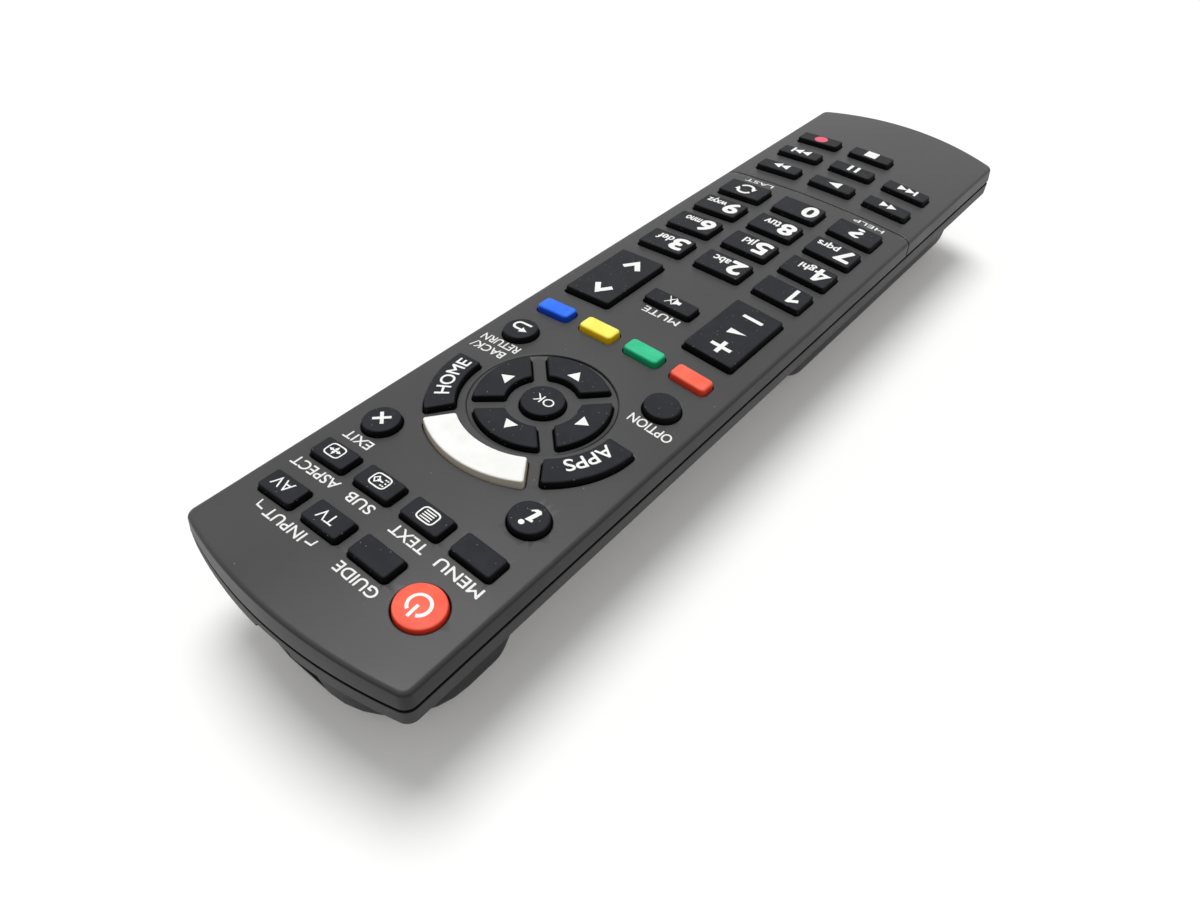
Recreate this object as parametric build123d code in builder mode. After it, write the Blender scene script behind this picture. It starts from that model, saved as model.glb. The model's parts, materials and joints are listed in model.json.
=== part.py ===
"""Hand-held remote control for a television, as an assembly of its separate pieces.

Millimetres. X is the width, right as it is held. +Y runs to the infrared end. +Z is up,
and the case rests on Z = 0 under the middle of its length and width.
"""

from build123d import *
from dataclasses import dataclass
from math import cos, pi, radians, sin, sqrt
import os

os.makedirs("parts", exist_ok=True)

# Whole case
case_length = 200.0
case_width = 47.4
case_height = 24.0  # floor to the crown of the key face
crown_radius = 229.0  # the key face is a little round across its width
infrared_end_radius = 84.0
battery_end_radius = 68.0
plan_corner = 2.1
smallest_corner = 0.5
case_wall = 1.8
wall_draft = 5.0  # degrees
cut_spare = 1.0  # how far a cutting shape runs past what it cuts
face_edge_bevel = 0.9

# Heights of the layers
seam_height = 19.4
seam_gap = 0.3  # the dark line between the two halves
face_underside = 21.9  # flat, so that the key mat seats against it
board_thickness = 1.2
mat_thickness = 1.9
board_top = face_underside - mat_thickness
board_bottom = board_top - board_thickness

# Lip that joins the two halves
lip_thickness = 0.8
lip_clearance = 0.1
lip_top = 20.5
snap_length = 5.0
snap_depth = 0.45
snap_height = 0.6
snap_clearance = 0.2
snap_places = (-70.0, -15.0, 45.0)

# Lower half
rim_height = 2.9
rim_round = 1.1
tray_inset = 2.4
tray_bottom = 11.0
tray_round = 3.0
edge_bands = 2
floor_wall = 1.6
pod_top = 14.2  # where the belly and the foot run into the tray
pod_half_width = 19.6
belly_round = 6.5
belly_top_ends = (-95.0, -2.0)
belly_floor_ends = (-84.0, -14.0)
foot_bevel = 2.9
foot_top_ends = (60.0, 92.3)
foot_floor_ends = (70.0, 87.5)

# Cross line on the face, between the number keys and the transport keys
cross_line_y = -48.8
cross_line_width = 0.4
cross_line_depth = 0.35

# Dished ring round the arrow keys
ring_y = 45.0
dish_radius = 12.6
dish_sphere_radius = 227.0
dish_depth = 0.9

# Keys
key_rise = 1.4  # above the face beside the key
key_gap = 0.15  # key to its opening
rocker_end_gap = 0.35
key_travel = 0.8
flange_margin = 0.4
flange_gap = 0.1  # flange to the underside of the face
window_gap = 0.25  # flange to its window in the mat
contact_gap = 0.1  # underside of a key to the board when it is fully down
flange_top = face_underside - flange_gap
key_base = board_top + key_travel + contact_gap
flange_sides = 24  # the flange of a curved key has straight edges

small_key_size = (8.1, 4.6)
colour_key_size = (8.1, 4.2)
number_key_size = (10.8, 7.0)
transport_key_size = (10.8, 4.5)
mute_key_size = (10.8, 4.4)
rocker_size = (10.8, 18.6)
small_key_corner = 0.8
number_key_corner = 0.7
four_key_pitch = 10.2
three_key_pitch = 13.85
input_row_y = 84.75
menu_row_y = 75.25
colour_row_y = 23.3
rocker_y = 7.45
mute_y = 7.95
first_number_row_y = -9.95
number_row_pitch = 10.07
first_transport_row_y = -55.5
transport_row_pitch = 9.9
power_key_radius = 4.0
power_key_rise = 1.9
power_key_y = 86.25
round_key_radius = 3.4
round_key_x = 15.9
info_row_y = 65.5
option_row_y = 32.7
ok_key_radius = 4.0

arrow_inner_radius = 6.2
arrow_outer_radius = 11.85
arrow_half_gap = 1.2
arrow_corner = 0.6
outer_arc_inner_radius = 13.95
outer_arc_outer_radius = 19.7
outer_arc_half_gap = 1.5
outer_arc_corner = 0.7
outer_arc_split = 54.0  # degrees from +X, where the top arc ends
outer_arc_overrun = 0.6  # the side arcs end just past the middle of the ring

# Rocker keys tilt about their ears
rocker_tilt = 3.0
ear_length = 2.8
ear_lowering = 0.1
rocker_swing = rocker_size[1] / 2 * sin(radians(rocker_tilt))

# Cells and their bay
cell_diameter = 14.5
cell_length = 50.5
cell_nub_diameter = 5.5
cell_nub_length = 1.3
cell_spacing = 14.9
cell_floor_gap = 0.3
cell_side_gap = 0.4
spring_length = 6.7
spring_wire = 0.8
spring_wide_radius = 4.6
spring_narrow_radius = 3.2
spring_turns = 3
spring_steps = 10  # straight pieces in one turn
contact_plate = 0.4
bay_front = -19.5
bay_end_wall = 8.0  # in front of the cells
bay_half_width = cell_spacing / 2 + cell_diameter / 2 + cell_side_gap
bay_length = cell_length + spring_length + 2 * contact_plate
bay_back = bay_front - bay_length

# Battery door
door_thickness = 1.6
door_gap = 0.15
door_side_ledge = 0.8
door_end_ledge = 2.6
door_half_width = bay_half_width + door_side_ledge
door_front = bay_front + door_end_ledge
door_back = bay_back - door_end_ledge
tongue_width = 5.0
tongue_offset = 8.0
tongue_reach = 1.8
tongue_root = 1.3
tongue_base = 1.9
tongue_height = 1.1
tongue_side_gap = 0.3
tongue_swing_room = 1.0
latch_width = 8.0
latch_height = 4.6
latch_thickness = 1.1
latch_setback = 0.6  # from the front of the bay
latch_nose = 0.5
latch_nose_height = 1.4
latch_side_gap = 0.4
latch_clearance = 0.4  # the nose swings past its catch without bending
catch_depth = 0.5
grip_ridge_count = 5
grip_ridge_pitch = 1.8
grip_ridge_width = 0.8
grip_ridge_depth = 0.35
grip_length = 12.0
grip_taper = 1.6
grip_setback = 3.0

cell_axis_height = door_thickness + cell_floor_gap + cell_diameter / 2
bay_roof = cell_axis_height + cell_diameter / 2 + cell_floor_gap

# Infrared lamp and its arch in the end of the case
lamp_height = 14.3
lamp_radius = 2.5
lamp_length = 8.7
lamp_nose = 1.1
lamp_hole_gap = 0.15
arch_width = 7.4
arch_back = 93.0
lamp_wall = 1.6
lamp_tip = 97.6
lead_side = 0.5
lead_spacing = 2.54
lead_bend = 2.0  # behind the lamp

board_gap = 0.3
board_margin = case_wall + board_gap

# Contact plates and the parts under the board
contact_side = 11.0
contact_leg = 3.0
leg_gap = 0.15
chip_size = (9.0, 12.0, 1.7)
chip_place = (0.0, 24.0)
resonator_size = (4.2, 10.0, 3.4)
resonator_place = (-11.0, 24.0)
resonator_corner = 1.2
capacitor_size = (5.0, 7.0, 4.0)
capacitor_place = (11.0, 8.0)


def crown(x):
    """Height of the key face at x."""
    return case_height - crown_radius + sqrt(crown_radius**2 - x**2)


def dish(radius):
    """Height of the dished ring at this distance from its middle."""
    rise = dish_sphere_radius - sqrt(dish_sphere_radius**2 - radius**2)
    return case_height - dish_depth + rise


def plan_outline(inset):
    """The case seen from above, every edge moved in by inset."""
    half_width = case_width / 2 - inset
    half_length = case_length / 2 - inset
    front_radius = infrared_end_radius - inset
    back_radius = battery_end_radius - inset
    front_corner = half_length - front_radius + sqrt(front_radius**2 - half_width**2)
    back_corner = half_length - back_radius + sqrt(back_radius**2 - half_width**2)
    with BuildSketch(mode=Mode.PRIVATE) as outline:
        with BuildLine():
            ThreePointArc((half_width, front_corner), (0, half_length), (-half_width, front_corner))
            Line((-half_width, front_corner), (-half_width, -back_corner))
            ThreePointArc((-half_width, -back_corner), (0, -half_length), (half_width, -back_corner))
            Line((half_width, -back_corner), (half_width, front_corner))
        make_face()
        if inset < plan_corner - smallest_corner:
            fillet(outline.vertices(), plan_corner - inset)
    return outline.sketch


def eased_slab(inset, top, bottom, edge_round):
    """A level of the lower half whose bottom edge is eased in flat bands."""
    turns = [radians(90 * band / edge_bands) for band in range(edge_bands + 1)]
    with BuildPart(mode=Mode.PRIVATE) as slab:
        for turn in turns:
            with BuildSketch(Plane.XY.offset(bottom + edge_round * (1 - sin(turn)))):
                add(plan_outline(inset + edge_round * (1 - cos(turn))))
        loft(ruled=True)
        with BuildSketch(Plane.XY.offset(bottom + edge_round)):
            add(plan_outline(inset))
        extrude(amount=top - bottom - edge_round)
    return slab.part


def crowned_block(inset, bottom, edge_bevel):
    """The upper half as one solid lump, its top following the crown."""
    with BuildPart(mode=Mode.PRIVATE) as block:
        with BuildSketch(Plane.XY.offset(bottom)):
            add(plan_outline(inset))
        extrude(amount=case_height - bottom + cut_spare, taper=wall_draft)
        with BuildSketch(Plane.XZ):
            with Locations((0, case_height - inset - crown_radius)):
                Circle(crown_radius)
        extrude(amount=case_length, both=True, mode=Mode.INTERSECT)
        if edge_bevel:
            top_face = block.faces().sort_by(Axis.Z)[-1]
            chamfer(top_face.edges(), edge_bevel)
    return block.part


def pod(top_ends, floor_ends, inset, ease=None, ease_size=0):
    """A hump under the tray, with sloping ends and a flat bottom, its edges eased."""
    half_width = pod_half_width - inset
    with BuildPart(mode=Mode.PRIVATE) as hump:
        with BuildSketch(Plane.YZ):
            with BuildLine():
                Polyline(
                    (top_ends[0] + inset, pod_top),
                    (floor_ends[0] + inset, inset),
                    (floor_ends[1] - inset, inset),
                    (top_ends[1] - inset, pod_top),
                    close=True,
                )
            make_face()
        extrude(amount=half_width, both=True)
        if ease:
            top_edges = hump.faces().sort_by(Axis.Z)[-1].edges()
            ease([edge for edge in hump.edges() if edge not in top_edges], ease_size)
    return hump.part


@dataclass
class BlockKey:
    name: str
    x: float
    y: float
    width: float
    length: float
    corner: float

    def outline(self, grow, end_grow=None, straight=False):
        """The key seen from above, grown all round. A straight one has plain corners."""
        end_grow = grow if end_grow is None else end_grow
        width = self.width + 2 * grow
        length = self.length + 2 * end_grow
        with BuildSketch(mode=Mode.PRIVATE) as shape:
            with Locations((self.x, self.y)):
                Rectangle(width, length)
            if not straight:
                chamfer(shape.vertices(), self.corner)
        return shape.sketch

    def top_plane(self):
        lean = self.x / crown_radius
        height = crown(self.x) + key_rise
        return Plane(origin=(self.x, self.y, height), x_dir=(1, 0, -lean), z_dir=(lean, 0, 1))


@dataclass
class RockerKey(BlockKey):
    """A long block that tilts about its middle."""


@dataclass
class RoundKey:
    name: str
    x: float
    y: float
    radius: float
    face_height: float
    rise: float = key_rise

    def outline(self, grow, end_grow=None, straight=False):
        side = 2 * (self.radius + grow)
        with BuildSketch(mode=Mode.PRIVATE) as shape:
            with Locations((self.x, self.y)):
                if straight:
                    Rectangle(side, side)
                    chamfer(shape.vertices(), side / 5)
                else:
                    Circle(side / 2)
        return shape.sketch

    def top_plane(self):
        lean = self.x / crown_radius
        height = self.face_height + self.rise
        return Plane(origin=(self.x, self.y, height), x_dir=(1, 0, -lean), z_dir=(lean, 0, 1))


@dataclass
class ArcKey:
    """A key that is a piece of a ring, cut off at both ends beside a line from the middle."""

    name: str
    inner: float
    outer: float
    start: float  # degrees from +X
    start_inset: float  # distance of the cut from the line at the start angle
    end: float
    end_inset: float
    corner: float
    in_dish: bool

    def outline(self, grow, end_grow=None, straight=False):
        start, end = radians(self.start), radians(self.end)
        start_normal = (-sin(start), cos(start))
        end_normal = (sin(end), -cos(end))
        start_inset = self.start_inset - grow
        end_inset = self.end_inset - grow
        turn = start_normal[0] * end_normal[1] - start_normal[1] * end_normal[0]
        apex = Vector(
            (start_inset * end_normal[1] - end_inset * start_normal[1]) / turn,
            (end_inset * start_normal[0] - start_inset * end_normal[0]) / turn,
        )
        reach = 3 * self.outer
        with BuildSketch(mode=Mode.PRIVATE) as ring:
            if straight:
                RegularPolygon(self.outer + grow, flange_sides, major_radius=False)
                RegularPolygon(self.inner - grow, flange_sides, mode=Mode.SUBTRACT)
            else:
                Circle(self.outer + grow)
                Circle(self.inner - grow, mode=Mode.SUBTRACT)
            with BuildLine():
                Polyline(
                    apex,
                    apex + Vector(cos(start), sin(start)) * reach,
                    apex + Vector(cos(end), sin(end)) * reach,
                    close=True,
                )
            make_face(mode=Mode.INTERSECT)
            if not straight:
                chamfer(ring.vertices(), self.corner)
        return ring.sketch.moved(Location((0, ring_y, 0)))

    def middle(self):
        angle = radians((self.start + self.end) / 2)
        radius = (self.inner + self.outer) / 2
        return radius * cos(angle), ring_y + radius * sin(angle), angle, radius

    def top_plane(self):
        x, y, angle, radius = self.middle()
        if self.in_dish:
            lean = -radius / dish_sphere_radius
            normal = (lean * cos(angle), lean * sin(angle), 1)
            return Plane(origin=(x, y, dish(radius) + key_rise), z_dir=normal)
        return Plane(origin=(x, y, crown(x) + key_rise), z_dir=(x / crown_radius, 0, 1))


def key_row(names, pitch, y, size, corner, kind=BlockKey):
    """Keys side by side about the middle of the face. An empty name leaves its place free."""
    first = -(len(names) - 1) / 2 * pitch
    places = [(name, first + place * pitch) for place, name in enumerate(names)]
    return [kind(name, x, y, *size, corner) for name, x in places if name]


number_rows = [first_number_row_y - row * number_row_pitch for row in range(4)]
transport_rows = [first_transport_row_y - row * transport_row_pitch for row in range(3)]

block_keys = [
    *key_row(
        ("", "guide_key", "tv_key", "av_key"),
        four_key_pitch,
        input_row_y,
        small_key_size,
        small_key_corner,
    ),
    *key_row(
        ("menu_key", "text_key", "subtitle_key", "aspect_key"),
        four_key_pitch,
        menu_row_y,
        small_key_size,
        small_key_corner,
    ),
    *key_row(
        ("red_key", "green_key", "yellow_key", "blue_key"),
        four_key_pitch,
        colour_row_y,
        colour_key_size,
        small_key_corner,
    ),
    *key_row(("", "mute_key", ""), three_key_pitch, mute_y, mute_key_size, number_key_corner),
]
for names, y in zip(
    (
        ("digit_1_key", "digit_2_key", "digit_3_key"),
        ("digit_4_key", "digit_5_key", "digit_6_key"),
        ("digit_7_key", "digit_8_key", "digit_9_key"),
        ("help_key", "digit_0_key", "last_view_key"),
    ),
    number_rows,
):
    block_keys += key_row(names, three_key_pitch, y, number_key_size, number_key_corner)
for names, y in zip(
    (
        ("rewind_key", "play_key", "fast_forward_key"),
        ("previous_key", "pause_key", "next_key"),
        ("", "stop_key", "record_key"),
    ),
    transport_rows,
):
    block_keys += key_row(names, three_key_pitch, y, transport_key_size, number_key_corner)

rocker_keys = key_row(
    ("volume_rocker", "", "channel_rocker"),
    three_key_pitch,
    rocker_y,
    rocker_size,
    number_key_corner,
    RockerKey,
)

power_key_x = -1.5 * four_key_pitch
power_face = crown(power_key_x)
round_keys = [
    RoundKey("power_key", power_key_x, power_key_y, power_key_radius, power_face, power_key_rise),
    RoundKey("info_key", -round_key_x, info_row_y, round_key_radius, crown(round_key_x)),
    RoundKey("exit_key", round_key_x, info_row_y, round_key_radius, crown(round_key_x)),
    RoundKey("option_key", -round_key_x, option_row_y, round_key_radius, crown(round_key_x)),
    RoundKey("back_key", round_key_x, option_row_y, round_key_radius, crown(round_key_x)),
    RoundKey("ok_key", 0, ring_y, ok_key_radius, dish(0)),
]

arc_keys = [
    ArcKey(
        f"{name}_arrow_key",
        arrow_inner_radius,
        arrow_outer_radius,
        45 + quarter * 90,
        arrow_half_gap,
        135 + quarter * 90,
        arrow_half_gap,
        arrow_corner,
        in_dish=True,
    )
    for quarter, name in enumerate(("up", "left", "down", "right"))
]
arc_size = (outer_arc_inner_radius, outer_arc_outer_radius)
arc_end = (outer_arc_corner, False)
right_cut = (outer_arc_split, outer_arc_half_gap)
left_cut = (180 - outer_arc_split, outer_arc_half_gap)
arc_keys += [
    ArcKey("home_key", *arc_size, 0, -outer_arc_overrun, *right_cut, *arc_end),
    ArcKey("shortcut_key", *arc_size, *right_cut, *left_cut, *arc_end),
    ArcKey("apps_key", *arc_size, *left_cut, 180, -outer_arc_overrun, *arc_end),
]

all_keys = block_keys + rocker_keys + round_keys + arc_keys


def end_grow(key, grow):
    """A rocker needs more room at its two ends, because they swing."""
    return grow + rocker_end_gap - key_gap if isinstance(key, RockerKey) else grow


# Upper half: crowned shell with an opening for each key
cross_line_ribbon = crowned_block(cross_line_depth, seam_height, 0)
upper_lump = crowned_block(0, seam_height + seam_gap / 2, face_edge_bevel)

with BuildPart() as cross_line_cut:
    with BuildSketch(Plane.XY.offset(seam_height - cut_spare)):
        with Locations((0, cross_line_y)):
            Rectangle(case_width + cut_spare, cross_line_width)
    extrude(amount=case_height)
    add(cross_line_ribbon, mode=Mode.SUBTRACT)

with BuildPart() as top_case:
    add(upper_lump)
    with BuildSketch(Plane.XY.offset(seam_height)):
        add(plan_outline(case_wall))
    extrude(amount=face_underside - seam_height, mode=Mode.SUBTRACT)
    with BuildSketch(Plane.XY.offset(seam_height)):
        add(plan_outline(case_wall - lip_thickness - lip_clearance))
    extrude(amount=lip_top - seam_height, mode=Mode.SUBTRACT)
    with BuildSketch(Plane(origin=(0, ring_y, 0), x_dir=(1, 0, 0), z_dir=(0, -1, 0))):
        with BuildLine():
            bowl = RadiusArc((0, dish(0)), (dish_radius, dish(dish_radius)), -dish_sphere_radius)
            Polyline(
                bowl @ 1,
                (dish_radius, case_height + cut_spare),
                (0, case_height + cut_spare),
                bowl @ 0,
            )
        make_face()
    revolve(axis=Axis((0, ring_y, 0), (0, 0, 1)), mode=Mode.SUBTRACT)
    add(cross_line_cut.part, mode=Mode.SUBTRACT)
    with BuildSketch(Plane.XY.offset(face_underside - cut_spare)):
        for key in all_keys:
            add(key.outline(key_gap, end_grow(key, key_gap)))
    extrude(amount=case_height - face_underside + 2 * cut_spare, mode=Mode.SUBTRACT)
    for side in (-1, 1):
        wall_face = side * (case_width / 2 - case_wall + lip_thickness + lip_clearance)
        for place in snap_places:
            with Locations((wall_face, place, lip_top - snap_height)):
                Box(
                    2 * snap_depth,
                    snap_length + 2 * snap_clearance,
                    snap_height + snap_clearance,
                    mode=Mode.SUBTRACT,
                )

top_case.part.label = "top_case"
export_step(top_case.part, "parts/top_case.step")

# Lower half: rim, tray, belly for the cells and foot at the infrared end
belly = pod(belly_top_ends, belly_floor_ends, 0, fillet, belly_round)
foot = pod(foot_top_ends, foot_floor_ends, 0, chamfer, foot_bevel)
foot_hollow = pod(foot_top_ends, foot_floor_ends, floor_wall)

rim_top = seam_height - seam_gap / 2

with BuildPart() as bottom_case:
    add(eased_slab(0, rim_top, rim_top - rim_height, rim_round))
    add(eased_slab(tray_inset, rim_top - rim_round, tray_bottom, tray_round))
    add(belly)
    add(foot)
    # Lip with its snap beads
    with BuildSketch(Plane.XY.offset(rim_top)):
        add(plan_outline(case_wall - lip_thickness))
    extrude(amount=lip_top - rim_top)
    for side in (-1, 1):
        lip_face = side * (case_width / 2 - case_wall + lip_thickness)
        for place in snap_places:
            with Locations((lip_face, place, lip_top - snap_height)):
                Box(2 * (snap_depth - lip_clearance), snap_length, snap_height / 2)
    # Board seat, open above
    with BuildSketch(Plane.XY.offset(board_bottom)):
        add(plan_outline(case_wall))
    extrude(amount=lip_top - board_bottom, mode=Mode.SUBTRACT)
    # Room under the board, from the cells to the infrared lamp
    pocket_front = arch_back - lamp_wall
    pocket_back = bay_front + bay_end_wall
    with BuildSketch(Plane.XY.offset(tray_bottom + floor_wall)):
        with Locations((0, (pocket_front + pocket_back) / 2)):
            Rectangle(2 * (pod_half_width - board_gap), pocket_front - pocket_back)
    extrude(amount=board_bottom - tray_bottom - floor_wall, mode=Mode.SUBTRACT)
    add(foot_hollow, mode=Mode.SUBTRACT)
    # Bay for the cells, open below
    with BuildSketch():
        with Locations((0, (bay_front + bay_back) / 2)):
            Rectangle(2 * bay_half_width, bay_length)
    extrude(amount=bay_roof, mode=Mode.SUBTRACT)
    # Seat for the door
    with BuildSketch():
        with Locations((0, (door_front + door_back) / 2)):
            Rectangle(2 * (door_half_width + door_gap), door_front - door_back + 2 * door_gap)
    extrude(amount=door_thickness + door_gap, mode=Mode.SUBTRACT)
    # Slots for the two tongues, and one for the latch with the catch for its nose
    slot_back = door_back - tongue_reach - tongue_side_gap
    slot_top = tongue_base + tongue_height + tongue_swing_room
    for side in (-1, 1):
        with Locations((side * tongue_offset, bay_back, slot_top)):
            Box(
                tongue_width + 2 * tongue_side_gap,
                bay_back - slot_back,
                slot_top,
                align=(Align.CENTER, Align.MAX, Align.MAX),
                mode=Mode.SUBTRACT,
            )
    latch_slot = latch_setback + latch_thickness + latch_nose + latch_clearance
    latch_slot_top = door_thickness + latch_height + tongue_swing_room
    for reach, slot_height in ((latch_slot, latch_slot_top), (latch_slot + catch_depth, 2 * latch_nose_height)):
        with Locations((0, bay_front, latch_slot_top)):
            Box(
                latch_width + 2 * latch_side_gap,
                reach,
                slot_height,
                align=(Align.CENTER, Align.MIN, Align.MAX),
                mode=Mode.SUBTRACT,
            )
    # Arch in front of the infrared lamp
    with BuildSketch(Plane(origin=(0, arch_back, 0), x_dir=(1, 0, 0), z_dir=(0, -1, 0))):
        with Locations((0, lamp_height)):
            Circle(arch_width / 2)
        with Locations((0, lamp_height / 2)):
            Rectangle(arch_width, lamp_height)
    extrude(amount=arch_back - case_length / 2 - cut_spare, mode=Mode.SUBTRACT)
    with Locations((0, arch_back, lamp_height)):
        Cylinder(lamp_radius + lamp_hole_gap, 4 * lamp_wall, rotation=(90, 0, 0), mode=Mode.SUBTRACT)
    with Locations((0, pocket_front, lamp_height)):
        lamp_room = 2 * (lamp_radius + lamp_hole_gap)
        Box(
            lamp_room,
            pocket_front - lamp_tip + lamp_length + lead_bend,
            lamp_room,
            align=(Align.CENTER, Align.MAX, Align.CENTER),
            mode=Mode.SUBTRACT,
        )
    # Slots in the roof of the bay for the contact legs
    with BuildSketch(Plane.XY.offset(bay_roof)):
        with Locations(*[(side * cell_spacing / 2, bay_front - contact_plate / 2) for side in (-1, 1)]):
            Rectangle(contact_leg + 2 * leg_gap, contact_plate)
    extrude(amount=board_bottom - bay_roof, mode=Mode.SUBTRACT)

bottom_case.part.label = "bottom_case"
export_step(bottom_case.part, "parts/bottom_case.step")

# Battery door
with BuildPart() as battery_door:
    with BuildSketch():
        with Locations((0, (door_front + door_back) / 2)):
            Rectangle(2 * door_half_width, door_front - door_back)
    extrude(amount=door_thickness)
    add(belly, mode=Mode.INTERSECT)
    # Tongues that hook into the case behind the door
    for side in (-1, 1):
        with BuildSketch(Plane.YZ.offset(side * tongue_offset - tongue_width / 2)):
            with BuildLine():
                Polyline(
                    (door_back + tongue_root, door_thickness),
                    (door_back + tongue_root, tongue_base + tongue_height),
                    (door_back - tongue_reach, tongue_base + tongue_height),
                    (door_back - tongue_reach, tongue_base),
                    (door_back, tongue_base),
                    (door_back, door_thickness),
                    close=True,
                )
            make_face()
        extrude(amount=tongue_width)
    # Springy latch with its nose
    with BuildSketch(Plane.YZ.offset(-latch_width / 2)):
        latch_back = bay_front + latch_setback
        latch_face = latch_back + latch_thickness
        nose_top = door_thickness + latch_height
        with BuildLine():
            Polyline(
                (latch_back, door_thickness),
                (latch_face, door_thickness),
                (latch_face, nose_top - latch_nose_height),
                (latch_face + latch_nose, nose_top - latch_nose_height + latch_nose),
                (latch_face, nose_top),
                (latch_back, nose_top),
                close=True,
            )
        make_face()
    extrude(amount=latch_width)
    # Grip ridges for the thumb
    with BuildSketch():
        for ridge in range(grip_ridge_count):
            with Locations((0, door_front - grip_setback - ridge * grip_ridge_pitch)):
                Rectangle(grip_length - ridge * grip_taper, grip_ridge_width)
    extrude(amount=grip_ridge_depth, mode=Mode.SUBTRACT)

battery_door.part.label = "battery_door"
export_step(battery_door.part, "parts/battery_door.step")

# Keys, each held under the face by its flange or ears
for key in all_keys:
    is_rocker = isinstance(key, RockerKey)
    base = board_top + rocker_swing + contact_gap if is_rocker else key_base
    with BuildPart() as key_cap:
        with BuildSketch(Plane.XY.offset(base)):
            add(key.outline(0))
        extrude(amount=case_height + 2 * power_key_rise - base)
        split(bisect_by=key.top_plane(), keep=Keep.BOTTOM)
        with BuildSketch(Plane.XY.offset(key_base)):
            if is_rocker:
                with Locations((key.x, key.y)):
                    Rectangle(key.width + 2 * flange_margin, ear_length)
            else:
                add(key.outline(flange_margin, straight=True))
        extrude(amount=flange_top - key_base - (ear_lowering if is_rocker else 0))
    key_cap.part.label = key.name
    export_step(key_cap.part, f"parts/{key.name}.step")

# Rubber mat round the rows of keys, clamped between the board and the face
window_margin = flange_margin + window_gap
key_rows = [
    (power_key_y, power_key_radius, four_key_pitch * 1.5 + small_key_size[0] / 2),
    (menu_row_y, small_key_size[1] / 2, four_key_pitch * 1.5 + small_key_size[0] / 2),
    (colour_row_y, colour_key_size[1] / 2, four_key_pitch * 1.5 + colour_key_size[0] / 2),
    (rocker_y, rocker_size[1] / 2, three_key_pitch + rocker_size[0] / 2),
    *((y, number_key_size[1] / 2, three_key_pitch + number_key_size[0] / 2) for y in number_rows),
    *((y, transport_key_size[1] / 2, three_key_pitch + transport_key_size[0] / 2) for y in transport_rows),
]
ring_top = max(info_row_y + round_key_radius, ring_y + outer_arc_outer_radius)
ring_bottom = min(option_row_y - round_key_radius, ring_y - arrow_outer_radius)
key_rows.append(((ring_top + ring_bottom) / 2, (ring_top - ring_bottom) / 2, outer_arc_outer_radius))

with BuildPart() as key_mat:
    with BuildSketch(Plane.XY.offset(board_top)):
        add(plan_outline(board_margin))
        for y, half_length, half_width in key_rows:
            with Locations((0, y)):
                Rectangle(
                    2 * (half_width + window_margin),
                    2 * (half_length + window_margin),
                    mode=Mode.SUBTRACT,
                )
    extrude(amount=mat_thickness)

key_mat.part.label = "key_mat"
export_step(key_mat.part, "parts/key_mat.step")

# Circuit board
with BuildPart() as circuit_board:
    with BuildSketch(Plane.XY.offset(board_bottom)):
        add(plan_outline(board_margin))
    extrude(amount=board_thickness)

circuit_board.part.label = "circuit_board"
export_step(circuit_board.part, "parts/circuit_board.step")

# Parts under the board
with BuildPart() as controller_chip:
    with Locations((*chip_place, board_bottom)):
        Box(*chip_size, align=(Align.CENTER, Align.CENTER, Align.MAX))

controller_chip.part.label = "controller_chip"
export_step(controller_chip.part, "parts/controller_chip.step")

with BuildPart() as resonator:
    with Locations((*resonator_place, board_bottom)):
        Box(*resonator_size, align=(Align.CENTER, Align.CENTER, Align.MAX))
    chamfer(resonator.edges().filter_by(Axis.Z), resonator_corner)

resonator.part.label = "resonator"
export_step(resonator.part, "parts/resonator.step")

with BuildPart() as capacitor:
    with Locations((*capacitor_place, board_bottom)):
        Box(*capacitor_size, align=(Align.CENTER, Align.CENTER, Align.MAX))

capacitor.part.label = "capacitor"
export_step(capacitor.part, "parts/capacitor.step")

# Infrared lamp: nose, body and two leads bent up to the board
with BuildPart() as infrared_lamp:
    lamp_back = lamp_tip - lamp_length
    with BuildSketch(Plane(origin=(0, 0, lamp_height), x_dir=(1, 0, 0), z_dir=(0, 0, 1))):
        with BuildLine():
            Polyline(
                (0, lamp_back),
                (lamp_radius, lamp_back),
                (lamp_radius, lamp_tip - lamp_nose),
                (lamp_radius - lamp_nose, lamp_tip),
                (0, lamp_tip),
                close=True,
            )
        make_face()
    revolve(axis=Axis((0, 0, lamp_height), (0, 1, 0)))
    lead_back = lamp_back - lead_bend
    for side in (-1, 1):
        with BuildSketch(Plane.YZ.offset(side * lead_spacing / 2 - lead_side / 2)):
            with BuildLine():
                Polyline(
                    (lamp_back, lamp_height - lead_side),
                    (lead_back, lamp_height - lead_side),
                    (lead_back, board_bottom),
                    (lead_back + lead_side, board_bottom),
                    (lead_back + lead_side, lamp_height),
                    (lamp_back, lamp_height),
                    close=True,
                )
            make_face()
        extrude(amount=lead_side)

infrared_lamp.part.label = "infrared_lamp"
export_step(infrared_lamp.part, "parts/infrared_lamp.step")

# Cells, side by side and head to tail
with BuildPart() as aa_cells:
    for side in (-1, 1):
        head = bay_front - contact_plate if side < 0 else bay_back + contact_plate
        tail_way = -1 if side < 0 else 1
        shoulder = head + tail_way * cell_nub_length
        tail = head + tail_way * cell_length
        with BuildSketch(Plane(origin=(side * cell_spacing / 2, 0, cell_axis_height), z_dir=(0, 0, 1))):
            with BuildLine():
                Polyline(
                    (0, head),
                    (cell_nub_diameter / 2, head),
                    (cell_nub_diameter / 2, shoulder),
                    (cell_diameter / 2, shoulder),
                    (cell_diameter / 2, tail),
                    (0, tail),
                    close=True,
                )
            make_face()
        revolve(axis=Axis((side * cell_spacing / 2, 0, cell_axis_height), (0, 1, 0)))

aa_cells.part.label = "aa_cells"
export_step(aa_cells.part, "parts/aa_cells.step")

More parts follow.
